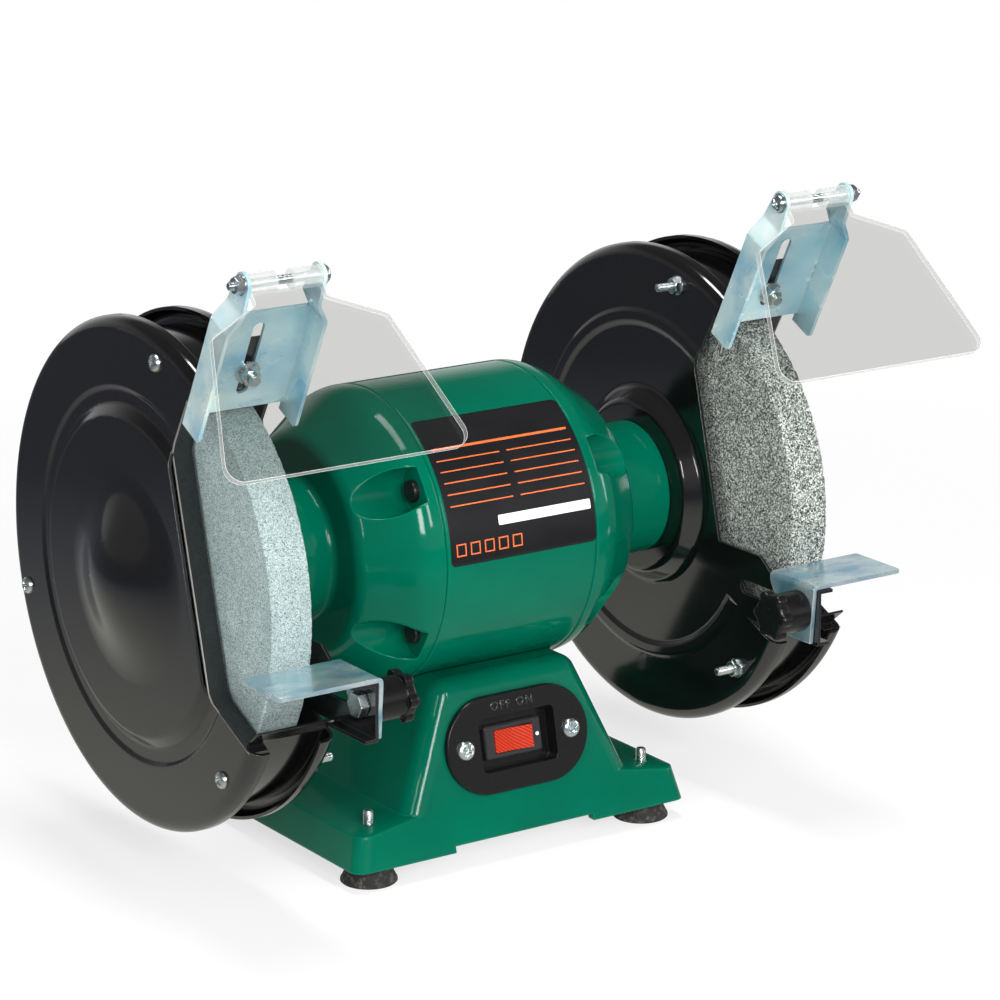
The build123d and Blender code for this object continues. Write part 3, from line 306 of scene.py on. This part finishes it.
def tube_patch(x_from, x_to, angle_from, angle_to, lift, corner=0.0):
    """A patch of the motor tube's surface with rounded corners, its angles measured up from the front."""
    columns = [x_from + corner * (1 - cos(pi / 2 * i / 6)) for i in range(6 if corner else 0)]
    columns += [x_from + corner + (x_to - x_from - 2 * corner) * i / 20 for i in range(21)]
    columns += [x_to - corner + corner * sin(pi / 2 * i / 6) for i in range(1, 7 if corner else 1)]
    low = radians(angle_from) * TUBE_RADIUS
    high = radians(angle_to) * TUBE_RADIUS
    rows = max(2, int((high - low) / 1.5))
    points = []
    for x in columns:
        past = max(x_from + corner - x, x - x_to + corner, 0)
        inset = corner - sqrt(max(corner ** 2 - past ** 2, 0))
        for i in range(rows + 1):
            angle = (low + inset + (high - low - 2 * inset) * i / rows) / TUBE_RADIUS
            reach = TUBE_RADIUS + lift
            points.append((x, -reach * cos(angle), SHAFT_HEIGHT + reach * sin(angle)))
    return points, grid_faces(len(columns), rows + 1, closed=False)


# Satin black foil, a shade greyer than the switch plate.
foil, tree, shader = new_material("black_foil")
feed(tree, shader, Base_Color=linear("141416"), Specular_IOR_Level=0.25,
     Roughness=ranged(tree, noise(tree, 18, detail=3.0), 0.28, 0.4))
plate_shape = tube_patch(*PLATE_X, *PLATE_ANGLES, FOIL, PLATE_CORNER)
plate = made_piece("motor_plate", plate_shape, foil, "frame", "black_plastic")
edge = plate.modifiers.new("foil_thickness", "SOLIDIFY")
edge.thickness = FOIL * MM
edge.offset = -1 if plate.data.polygons[0].normal.y < 0 else 1

# Flat printing inks: a warm orange and a paper white.
orange_ink, tree, shader = new_material("orange_ink")
feed(tree, shader, Base_Color=linear("d8642c"), Roughness=0.45)
white_strip, tree, shader = new_material("white_label_paper")
feed(tree, shader, Base_Color=linear("e6e8e6"), Roughness=0.5)
rules = [tube_patch(-35.5, 37.0, 44.6, 45.6, INK)]
for angle in (40.0, 35.6, 31.2, 26.8, 22.4):
    rules.append(tube_patch(-35.5, -2.0, angle, angle + 0.45, INK))
    rules.append(tube_patch(2.0, 37.0, angle, angle + 0.45, INK))
for x in (-35.5, -28.0, -20.5, -13.0, -5.5):
    rules += [tube_patch(x, x + 5.2, 4.0, 4.5, INK), tube_patch(x, x + 5.2, 8.2, 8.7, INK),
              tube_patch(x, x + 0.6, 4.0, 8.7, INK), tube_patch(x + 4.6, x + 5.2, 4.0, 8.7, INK)]
made_piece("plate_rules", joined(rules), orange_ink, "frame", "black_plastic")
made_piece("number_strip", tube_patch(-12, 38, 13, 16.7, FOIL + 0.03, 0.6), white_strip, "frame", "paper")

# Wheel guards
# Pressed steel sheet under black gloss enamel, each an inner plate, a rolled band and a domed outer cover.
# Their trimmed edges are painted lighter, a painted highlight, as is a strip along each opening.
SIDES = ("left", "right")
# Near black with a hard gloss that mirrors the floor and the dark overhead, and a painted highlight on
# edges.
black_enamel = enamel("black_enamel", "0a0a0c", "0d0d0d", "3c3a38", 0.12, 0.9, 5.0, 0.4)
# A light grey, half metallic strip along each opening's turned edge: a painted highlight.
strip_highlight_paint, tree, shader = new_material("painted_strip_highlight")
feed(tree, shader, Base_Color=linear("9a9490"), Metallic=0.5, Roughness=0.3)
COVER_X, INNER_PLATE_X = 160.2, 117.8
SWELL_RADIUS, SWELL_HEIGHT, PLATEAU_X = 51.0, 12.0, 163.3
SHEET = 1.5
LIP_PATH = ((-52.0, 90.1), (-39.8, 68.9), (-38.0, 64.0), (-64.5, -36.5), (-67.5, -40.0), (-98.0, -54.2))


def swelled_cover(side, sign):
    """The cover's mesh with its middle as one smooth swell, the way deep drawing leaves it."""
    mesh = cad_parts[side + "_outer_cover"].data.copy()
    shape = bmesh.new()
    shape.from_mesh(mesh)
    axis_z = SHAFT_HEIGHT * MM
    inside = {v: hypot(v.co.y, v.co.z - axis_z) < (SWELL_RADIUS + 1) * MM for v in shape.verts}
    middle = [edge for edge in shape.edges if inside[edge.verts[0]] and inside[edge.verts[1]]]
    bmesh.ops.subdivide_edges(shape, edges=middle, cuts=4, use_grid_fill=True)
    shape.normal_update()
    for v in shape.verts:
        r = hypot(v.co.y, v.co.z - axis_z) / MM
        if r < SWELL_RADIUS:
            rise = SWELL_HEIGHT * (0.5 + 0.5 * cos(pi * r / SWELL_RADIUS))
            back = 0.0 if v.normal.x * sign > 0 else SHEET
            v.co.x = sign * (PLATEAU_X + rise - back) * MM
    shape.to_mesh(mesh)
    shape.free()
    return mesh


def along_lip(sign, section):
    """A section's (x, depth) points carried along the edge of the cover's opening."""
    return [(sign * x, y + back, SHAFT_HEIGHT + z) for y, z in LIP_PATH for x, back in section]


def opening_lip(sign):
    """The cover's opening edge turned in towards the wheel, from its top edge down to the rim."""
    outer, inner = COVER_X - 0.4, 150.6
    points = along_lip(sign, ((outer, 0.0), (inner, 0.0), (inner, 1.2), (outer, 1.2)))
    ends = [(0, 1, 2, 3), tuple(range(len(points) - 4, len(points)))]
    return points, grid_faces(len(LIP_PATH), 4, closed=True) + ends


def lip_highlight_strip(sign):
    """A light strip where the opening's edge turns in: a painted highlight."""
    outer, inner = COVER_X + 0.1, COVER_X - 0.5
    points = along_lip(sign, ((outer, -0.1), (inner, -0.1), (inner, 0.4), (outer, 0.4)))
    return points, grid_faces(len(LIP_PATH), 4, closed=True)


for side, sign in (("left", -1), ("right", 1)):
    dress(black_enamel, side + "_inner_guard_plate", side + "_guard_band", side + "_outer_cover")
    mesh_piece(side + "_cover_drawn", swelled_cover(side, sign), black_enamel, "frame", "black_paint",
               side + "_outer_cover")
    made_piece(side + "_opening_lip", opening_lip(sign), black_enamel, "frame", "black_paint")
    # The light strip on each opening's turned edge is a painted highlight.
    made_piece(side + "_lip_highlight_strip", lip_highlight_strip(sign), strip_highlight_paint, "frame", "black_paint")


# Screws of the guards, feet and switch plate
# Cold headed steel screws with a cross recess and rolled threads, bright zinc plated. The long ones hold
# a cover to its inner plate and pass their nuts; those in the feet end above the pedestal's ledges.
def moved(shape, place, along, turn=0.0):
    """A shape drawn about Z, set at a place with Z along a direction."""
    turned_to = Vector(along).to_track_quat("Z", "Y").to_matrix().to_4x4()
    matrix = Matrix.Translation(Vector(place)) @ turned_to @ Matrix.Rotation(turn, 4, "Z")
    return [matrix @ Vector(point) for point in shape[0]], shape[1]


def turned(profile, columns=40):
    """A lathe shape about Z from its (radius, z) profile."""
    points = [(r * cos(2 * pi * j / columns), r * sin(2 * pi * j / columns), z) for r, z in profile
              for j in range(columns)]
    return points, grid_faces(len(profile), columns, closed=True)


def thread(diameter, pitch, z_from, z_to):
    """A rolled thread about Z, its far end bevelled and closed."""
    columns = 24
    rows = int(abs(z_to - z_from) / pitch * 6)
    depth = 0.55 * pitch
    points = []
    for i in range(rows + 1):
        z = z_from + (z_to - z_from) * i / rows
        start = min(1.0, abs(z_to - z) / pitch)
        for j in range(columns):
            phase = (z / pitch - j / columns) % 1
            radius = diameter / 2 - depth * min(1.0, 2.4 * abs(phase - 0.5)) - (1 - start) * depth
            points.append((radius * cos(2 * pi * j / columns), radius * sin(2 * pi * j / columns), z))
    tip = 0.02
    points += [(tip * cos(2 * pi * j / columns), tip * sin(2 * pi * j / columns), z_to)
               for j in range(columns)]
    return points, grid_faces(rows + 2, columns, closed=True)


def cross_head(width, height):
    """A pan head on Z = 0 with a pressed cross recess."""
    radius = width / 2
    rings, columns = 34, 64
    arm, reach, soft = 0.13 * radius, 0.6 * radius, 0.07 * radius
    points = []
    for i in range(rings + 1):
        share = min(1.0, 0.01 + i / rings)
        r = radius * share ** 0.85
        dome = height * (1 - min(1.0, (r / radius)) ** 4) ** 0.5
        for j in range(columns):
            x, y = r * cos(2 * pi * j / columns), r * sin(2 * pi * j / columns)
            inside = 0.0
            for across, along in ((abs(x), abs(y)), (abs(y), abs(x))):
                side_share = min(1.0, max(0.0, (arm + soft - across) / soft))
                end_share = min(1.0, max(0.0, (reach - along) / (0.35 * radius)))
                inside = max(inside, side_share * end_share)
            points.append((x, y, max(dome - 0.8 * height * inside, 0.0)))
    return points, grid_faces(rings + 1, columns, closed=True)


def cross_screw(diameter, pitch, plain, length, head_width=2.0, head_height=0.55):
    """A pan head screw, its head on Z = 0 and its shank below, plain at first and then threaded."""
    shank = turned([(diameter / 2, 0.0), (diameter / 2, -plain)], 24)
    return joined([cross_head(head_width * diameter, head_height * diameter), shank,
                   thread(diameter, pitch, -plain, -length)])


def zinc_plate(name, blue, pale, warm, deep, metal, low, high, cloud_mm, stretch=(1, 1, 1)):
    """Bright zinc plate: bluish metal with cloudy pale and yellowish stains and fine rolling streaks."""
    material, tree, shader = new_material(name)
    cloud = noise(tree, cloud_mm, detail=4.0, stretch=stretch)
    stain = noise(tree, cloud_mm * 2.1, detail=2.0)
    streak = noise(tree, 0.9, detail=3.0, stretch=(1, 9, 9))
    sheen = noise(tree, cloud_mm * 0.8, detail=5.0, stretch=(2, 1, 1))
    rounded, crease = rounded_edges(tree, 0.3)
    tint = mixed(tree, ranged(tree, cloud, 0.0, 1.0, 0.3, 0.7), blue, pale)
    tint = mixed(tree, ranged(tree, stain, 0.0, 0.8, 0.44, 0.8), tint, warm)
    tint = mixed(tree, ranged(tree, sheen, 0.0, 0.8, 0.44, 0.7), tint, deep)
    # Sharp edges are mixed towards near white: a painted highlight along every edge.
    feed(tree, shader, Base_Color=mixed(tree, crease, tint, "eef3f3"), Metallic=metal,
         Roughness=ranged(tree, cloud, low, high), Normal=bumped(tree, streak, 0.004, 0.6, rounded))
    return material


# Small plated parts look like bright, cool steel.
bright_zinc = zinc_plate("bright_zinc", "c3cfd4", "e2e7e7", "d9d9ca", "aebfc6", 1.0, 0.2, 0.32, 6)
GUARD_SCREW_CIRCLE = 104.2
GUARD_SCREW_ANGLES = (76.0, 196.0, 316.0)
FOOT_PLACES = [(x, y) for x in (-75.3, 75.3) for y in (-57.0, 57.0)]
screws = []
for sign in (-1, 1):
    for i, angle in enumerate(GUARD_SCREW_ANGLES):
        y, z = -GUARD_SCREW_CIRCLE * cos(radians(angle)), GUARD_SCREW_CIRCLE * sin(radians(angle))
        screw = cross_screw(4.0, 0.7, COVER_X - INNER_PLATE_X, COVER_X - INNER_PLATE_X + 12.5)
        place = (sign * COVER_X, y, SHAFT_HEIGHT + z)
        screws.append(moved(screw, place, (sign, 0, 0), 0.6 * i + 0.3 * sign))
made_piece("guard_screws_threaded", joined(screws), bright_zinc, "frame", "zinc_plate", "guard_screws")
screws = []
for i, (x, y) in enumerate(FOOT_PLACES):
    screws.append(moved(cross_screw(5.0, 0.8, 18.0, 28.75), (x, y, 4.5), (0, 0, -1), 0.8 * i))
made_piece("foot_screws_threaded", joined(screws), bright_zinc, "frame", "zinc_plate", "foot_screws")
dress(bright_zinc, "bottom_plate_screws", "motor_screws", "guard_nuts", "hub_screws", "shield_clamp_bolts",
      "shield_clamp_nuts", "base_bottom_plate", "capacitor_clamp")
# The screws deep in the end bells' pockets are coloured a near-black steel.
near_black, tree, shader = new_material("black_oxide_steel")
feed(tree, shader, Base_Color=linear("2a2b2c"), Metallic=0.7, Roughness=0.35)
dress(near_black, "bell_screws")


# Grinding wheels
# Abrasive grains pressed and fired in a vitrified bond. The left wheel is fine and pale, the right coarse,
# with light and dark grains side by side; torn grains leave their rims and faces rough.
WHEEL_X = 139.0
GRAIN_SEED = 7


def gritty_wheel(middle_x, grain, seed):
    """The wheel's faces and rim as one ring surface, its points sunk unevenly by up to a grain's height."""
    scatter = random.Random(seed)
    columns = 620
    face_radii = [8.0, 20.0, 40.0, 55.0] + [57.0 + 1.3 * i for i in range(33)]
    profile = [(r, -10.0) for r in face_radii] + [(99.3, -10.0), (100.0, -9.3)]
    profile += [(100.0, -8.6 + 0.96 * i) for i in range(19)]
    profile += [(100.0, 9.3), (99.3, 10.0)] + [(r, 10.0) for r in reversed(face_radii)] + [(8.0, -10.0)]
    points = []
    for r, x in profile:
        for j in range(columns):
            angle = 2 * pi * j / columns
            sunk = grain * scatter.random() ** 2 if r > 55.0 else 0.0
            reach = r - (sunk if r > 99.0 else 0.0)
            face = x * (1 - (sunk / 10.0 if abs(x) > 9.2 else 0.0))
            points.append((middle_x + face, reach * cos(angle), SHAFT_HEIGHT + reach * sin(angle)))
    return points, grid_faces(len(profile), columns, closed=True)


def abrasive(name, pale, middle, dark, grain_mm, dark_share):
    """Bonded grains: cells of three tones with dark pores between them, wholly matt."""
    material, tree, shader = new_material(name)
    cells = {"Vector": object_place(tree), "Scale": 1 / (grain_mm * MM)}
    grain = add_node(tree, "ShaderNodeTexVoronoi", cells)
    tone = add_node(tree, "ShaderNodeSeparateColor", {0: grain.outputs["Color"]})
    middling = ranged(tree, tone.outputs[0], 0.0, 1.0, dark_share, dark_share + 0.2)
    colour = mixed(tree, middling, dark, middle)
    colour = mixed(tree, ranged(tree, tone.outputs[1], 0.0, 1.0, 0.62, 0.8), colour, pale)
    cloud = noise(tree, 14, detail=3.0)
    colour = mixed(tree, ranged(tree, cloud, 0.0, 0.25), colour, dark)
    feed(tree, shader, Base_Color=colour, Roughness=0.85, Specular_IOR_Level=0.3,
         Normal=bumped(tree, tone.outputs[2], 0.35 * grain_mm, 0.7))
    return material


# Pale grey-green, even to the eye at arm's length.
fine_grit = abrasive("fine_grit", "b6c5c2", "94a5a3", "5c6d70", 0.42, 0.14)
# Salt and pepper grey with glassy light grains.
coarse_grit = abrasive("coarse_grit", "d6dad4", "828a84", "2e3431", 0.55, 0.38)
for side, sign, material, slot, grain in (("left", -1, fine_grit, "fine_grit", 0.25),
                                          ("right", 1, coarse_grit, "coarse_grit", 0.5)):
    wheel = gritty_wheel(sign * WHEEL_X, grain, GRAIN_SEED)
    made_piece(side + "_gritty_wheel", wheel, material, "rotor", slot, side + "_grinding_wheel")

# Eye shield brackets and tool rests
# Bent steel sheet, sheared and punched, with a thick bluish zinc plate that stains in the passivating bath.
# The sheared edges are painted brighter than the faces, a painted highlight.
# The brackets look milky blue, with pale drifts across the sheet.
sheet_zinc = zinc_plate("sheet_zinc", "a2cfdc", "e0f1f1", "e0ebdd", "74b2ce", 0.35, 0.2, 0.34, 26,
                        stretch=(1.6, 1, 1))
# The rests' tables mirror more, with deeper blue patches.
table_zinc = zinc_plate("table_zinc", "9dc4d0", "d8e6e8", "cfd4da", "5a9cbc", 0.75, 0.18, 0.3, 14)
for side in SIDES:
    dress(sheet_zinc, side + "_shield_bracket")
    dress(table_zinc, side + "_tool_rest")
    dress(bright_zinc, side + "_pivot_nut", side + "_rest_bolt")

# Pivot screws
# One long cross recess screw through both ears of each bracket, with the nut on the wheel's outer side.
# Its thread shows between the shield's two knuckles.
PIVOTS = {"left": (-WHEEL_X, -95.7084, 289.529), "right": (WHEEL_X, -97.6151, 293.2712)}
for side, (x, y, z) in PIVOTS.items():
    inwards = -1 if x > 0 else 1
    screw = moved(cross_screw(4.0, 0.7, 0.3, 45.7), (x + 20 * inwards, y, z), (inwards, 0, 0), 0.4)
    made_piece(side + "_pivot_screw_threaded", screw, bright_zinc, side + "_bracket", "zinc_plate",
               side + "_pivot_screw")


# Eye shields
# Clear polycarbonate, injection moulded in one piece with the hinge knuckles. The flat faces grey a little
# what is seen through them, and the edges are milky and carry a painted glow, an emission of their own.
EDGE_ROUNDING = 0.45
# The strength of the edges' painted glow.
EDGE_GLOW = 0.6
EDGE_MILKINESS = 0.85
KNUCKLE_RADII = (4.5 * MM, 5.2 * MM)
KNUCKLE_MILKINESS = 0.28


def clear_sheet(name, tilt, pivot):
    """Clear plastic whose edges, told from the faces by their direction, are milky with a painted glow."""
    material, tree, shader = new_material(name)
    tree.nodes.remove(shader)
    facing = add_node(tree, "ShaderNodeVectorTransform",
                      {0: add_node(tree, "ShaderNodeNewGeometry").outputs["Normal"]},
                      vector_type="NORMAL", convert_from="WORLD", convert_to="OBJECT")
    flat = add_node(tree, "ShaderNodeVectorMath", {0: facing.outputs[0], 1: (0, -sin(tilt), cos(tilt))},
                    operation="DOT_PRODUCT")
    flat = add_node(tree, "ShaderNodeMath", {0: flat.outputs["Value"]}, operation="ABSOLUTE")
    cut = ranged(tree, flat.outputs[0], 0.2, 0.0, 0.5, 0.9)
    sharp = rounded_edges(tree, EDGE_ROUNDING)[1]
    edge = add_node(tree, "ShaderNodeMath", {0: cut, 1: sharp}, operation="MAXIMUM").outputs[0]
    place = add_node(tree, "ShaderNodeVectorMath", {0: object_place(tree), 1: [v * MM for v in pivot]},
                     operation="SUBTRACT")
    across = add_node(tree, "ShaderNodeVectorMath", {0: place.outputs[0], 1: (0, 1, 1)},
                      operation="MULTIPLY")
    reach = add_node(tree, "ShaderNodeVectorMath", {0: across.outputs[0]}, operation="LENGTH")
    knuckle = faded(tree, reach.outputs["Value"], *KNUCKLE_RADII, 1.0, 0.0)
    edge = add_node(tree, "ShaderNodeMath", {0: edge, 1: knuckle}, operation="SUBTRACT",
                    use_clamp=True).outputs[0]
    through = add_node(tree, "ShaderNodeBsdfTransparent", {0: linear("e7e7e6")})
    mirror = add_node(tree, "ShaderNodeBsdfGlossy", {"Color": linear("404242"), "Roughness": 0.04})
    face = add_node(tree, "ShaderNodeAddShader", {0: through.outputs[0], 1: mirror.outputs[0]})
    milk = add_node(tree, "ShaderNodeBsdfTranslucent", {0: linear("f2f2f0")})
    milky = add_node(tree, "ShaderNodeBsdfDiffuse", {0: linear("f5f5f3")})
    milk = add_node(tree, "ShaderNodeMixShader", {0: 0.5, 1: milk.outputs[0], 2: milky.outputs[0]})
    # The painted glow: an emission on the edges, though the plastic is no lamp.
    painted_edge_glow = add_node(tree, "ShaderNodeEmission", {"Color": linear("f8f8f6"), "Strength": EDGE_GLOW})
    glow = add_node(tree, "ShaderNodeAddShader", {0: milk.outputs[0], 1: painted_edge_glow.outputs[0]})
    rim = add_node(tree, "ShaderNodeMixShader",
                   {0: EDGE_MILKINESS, 1: face.outputs[0], 2: glow.outputs[0]})
    whole = add_node(tree, "ShaderNodeMixShader", {0: edge, 1: face.outputs[0], 2: rim.outputs[0]})
    shine = add_node(tree, "ShaderNodeBsdfGlossy", {"Color": linear("d4dada"), "Roughness": 0.08})
    barrel = add_node(tree, "ShaderNodeAddShader", {0: milk.outputs[0], 1: shine.outputs[0]})
    share = add_node(tree, "ShaderNodeMath", {0: knuckle, 1: KNUCKLE_MILKINESS},
                     operation="MULTIPLY").outputs[0]
    whole = add_node(tree, "ShaderNodeMixShader", {0: share, 1: whole.outputs[0], 2: barrel.outputs[0]})
    tree.links.new(whole.outputs[0], tree.nodes["Material Output"].inputs["Surface"])
    return material


# Glass clear, with thin bright lines along the edges: milky plastic with a painted glow.
for side, tilt in (("left", 51.5), ("right", 52.0)):
    dress(clear_sheet(side + "_clear_polycarbonate", radians(tilt), PIVOTS[side]), side + "_eye_shield")


# Knobs, switch plate, feet and grommet
# Moulded parts: black thermoplastic with a fine spark-eroded grain, and softer, duller rubber.
def moulded(name, colour, roughness, grain_mm):
    material, tree, shader = new_material(name)
    skin = noise(tree, grain_mm, detail=3.0)
    grain = bumped(tree, skin, 0.02 * grain_mm, 1.0, rounded_edges(tree, 0.6)[0])
    feed(tree, shader, Base_Color=linear(colour), Specular_IOR_Level=0.3, Normal=grain,
         Roughness=ranged(tree, skin, roughness * 0.85, roughness * 1.15))
    return material


def eased(width_mm, *names):
    """Rounds the sharp edges of CAD pieces a little, as a mould does."""
    for name in names:
        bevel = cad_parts[name].modifiers.new("eased_edges", "BEVEL")
        bevel.width = width_mm * MM
        bevel.segments = 2
        bevel.limit_method = "ANGLE"
        bevel.angle_limit = SHARP_ANGLE
        bevel.harden_normals = True


# Black plastic with a soft sheen.
black_plastic = moulded("black_plastic", "101011", 0.24, 0.7)
dress(black_plastic, "switch_plate", "left_rest_knob", "right_rest_knob")
# The switch's own body is a shade greyer and duller.
dress(moulded("grey_black_plastic", "2a2a2c", 0.3, 0.5), "switch_body")
eased(0.3, "switch_plate", "switch_body")
# Rubber greyed by workshop dust.
rubber, tree, shader = new_material("dusty_rubber")
feed(tree, shader, Roughness=0.8, Normal=bumped(tree, noise(tree, 0.6, detail=2.0), 0.05),
     Base_Color=mixed(tree, ranged(tree, noise(tree, 3.0, detail=5.0, roughness=0.7), 0.0, 0.6, 0.5, 0.75),
                      "1b1a19", "7c7872"))
dress(rubber, "rubber_feet", "cord_grommet")
# The feet flare to a wide tread, moulded round the recess for the screw's head.
flare = turned([(6.0, 4.5), (6.0, 0.5), (6.5, 0.0), (12.5, 0.0), (13.0, 0.5), (12.9, 1.4), (12.2, 2.6),
                (11.2, 4.6), (10.6, 7.2), (10.4, 9.5), (2.6, 9.5), (2.6, 4.5), (6.0, 4.5)], 64)
feet = [moved(flare, (x, y, 0), (0, 0, 1)) for x, y in FOOT_PLACES]
made_piece("flared_feet", joined(feet), rubber, "frame", "rubber", "rubber_feet")

# Switch
# A rocker of translucent red plastic in a black bezel. The words above it are moulded into the plate,
# which two zinc plated screws hold to the pedestal.
FACE_UP = Vector((0, 0.1961161, 0.9805807))
FACE_OUT = Vector((0, -0.9805807, 0.1961161))
FACE_ORIGIN = Vector((0, -63.2, 54.0))
# Red plastic lit a little from inside.
red_plastic, tree, shader = new_material("red_translucent_plastic")
ribs = add_node(tree, "ShaderNodeTexWave", {"Vector": object_place(tree), "Scale": 0.32 / MM,
                                            "Distortion": 0.0}, bands_direction="DIAGONAL").outputs["Fac"]
feed(tree, shader, Base_Color=mixed(tree, ribs, "841b0a", "c83210"), Roughness=0.3,
     Specular_IOR_Level=0.3, Normal=bumped(tree, ribs, 0.05, 0.5),
     Subsurface_Weight=0.25, Subsurface_Scale=0.002)
shader.inputs["Subsurface Radius"].default_value = (1.0, 0.25, 0.1)
dress(red_plastic, "switch_rocker")
# The raised words are polished by handling.
gloss_plastic, tree, shader = new_material("polished_black_plastic")
feed(tree, shader, Base_Color=linear("161617"), Roughness=0.12, Specular_IOR_Level=0.8)
place = FACE_ORIGIN - FACE_OUT * 1.3 + Vector((12.9, 0, 0))
dot = moved(turned([(0.9, 0.0), (0.9, 0.1), (0.02, 0.1)], 24), place, FACE_OUT)
made_piece("switch_dot", dot, white_strip, "frame", "paper")
words = {"OFF": -8.0, "ON": 5.2}
for word, x in words.items():
    letters = bpy.data.curves.new("switch_word_" + word.lower(), "FONT")
    letters.body = word
    letters.size = 5.4 * MM
    letters.space_character = 1.25
    letters.extrude = 0.2 * MM
    letters.bevel_depth = 0.2 * MM
    letters.bevel_resolution = 2
    letters.align_x = "CENTER"
    letters.align_y = "CENTER"
    letters.materials.append(gloss_plastic)
    raised = bpy.data.objects.new("switch_word_" + word.lower(), letters)
    place = FACE_ORIGIN + FACE_UP * 17.0 + FACE_OUT * 2.65 + Vector((x, 0, 0))
    turned_out = FACE_OUT.to_track_quat("Z", "Y").to_matrix().to_4x4()
    raised.matrix_world = Matrix.Translation(place * MM) @ turned_out
    bpy.context.scene.collection.objects.link(raised)
    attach(raised, "frame")
screws = []
for x in (-28.8, 28.8):
    place = FACE_ORIGIN + FACE_OUT * 2.6 + Vector((x, 0, 0))
    screws.append(moved(cross_screw(4.0, 0.7, 2.6, 12.0, 2.3), place, FACE_OUT, x))
made_piece("switch_screws_threaded", joined(screws), bright_zinc, "frame", "zinc_plate",
           "switch_plate_screws")

# Motor, bearings and shaft inside the housing
# Turned and ground steel, stacked laminations, varnished copper and die cast aluminium.
# They show only in part, through the guards' openings.
# Steel with the faint, uneven sheen that turning leaves.
steel, tree, shader = new_material("turned_steel")
feed(tree, shader, Base_Color=linear("a9aaac"), Metallic=1.0,
     Roughness=ranged(tree, noise(tree, 4, detail=3.0), 0.28, 0.42))
dress(steel, "shaft", "wheel_inner_flanges", "wheel_outer_flanges", "wheel_nuts", "stator_core",
      "rotor_core")
for side in SIDES:
    dress(steel, side + "_bearing_outer_ring", side + "_bearing_inner_ring", side + "_bearing_balls")
# Copper wire, browned by its varnish.
copper, tree, shader = new_material("varnished_copper")
feed(tree, shader, Base_Color=linear("b06a3a"), Metallic=0.8,
     Roughness=ranged(tree, noise(tree, 1.2), 0.3, 0.5))
dress(copper, "stator_windings")
# Pale grey aluminium, duller than the steel.
aluminium, tree, shader = new_material("cast_aluminium")
feed(tree, shader, Base_Color=linear("c2c3c4"), Metallic=1.0,
     Roughness=ranged(tree, noise(tree, 2.0), 0.35, 0.5))
dress(aluminium, "rotor_end_rings", "capacitor")
# Buff paper, mottled by its fibres.
blotting, tree, shader = new_material("blotting_paper")
feed(tree, shader, Base_Color=mixed(tree, noise(tree, 1.5, detail=4.0), "b8a888", "9c8d6e"), Roughness=0.95)
dress(blotting, "wheel_blotters")
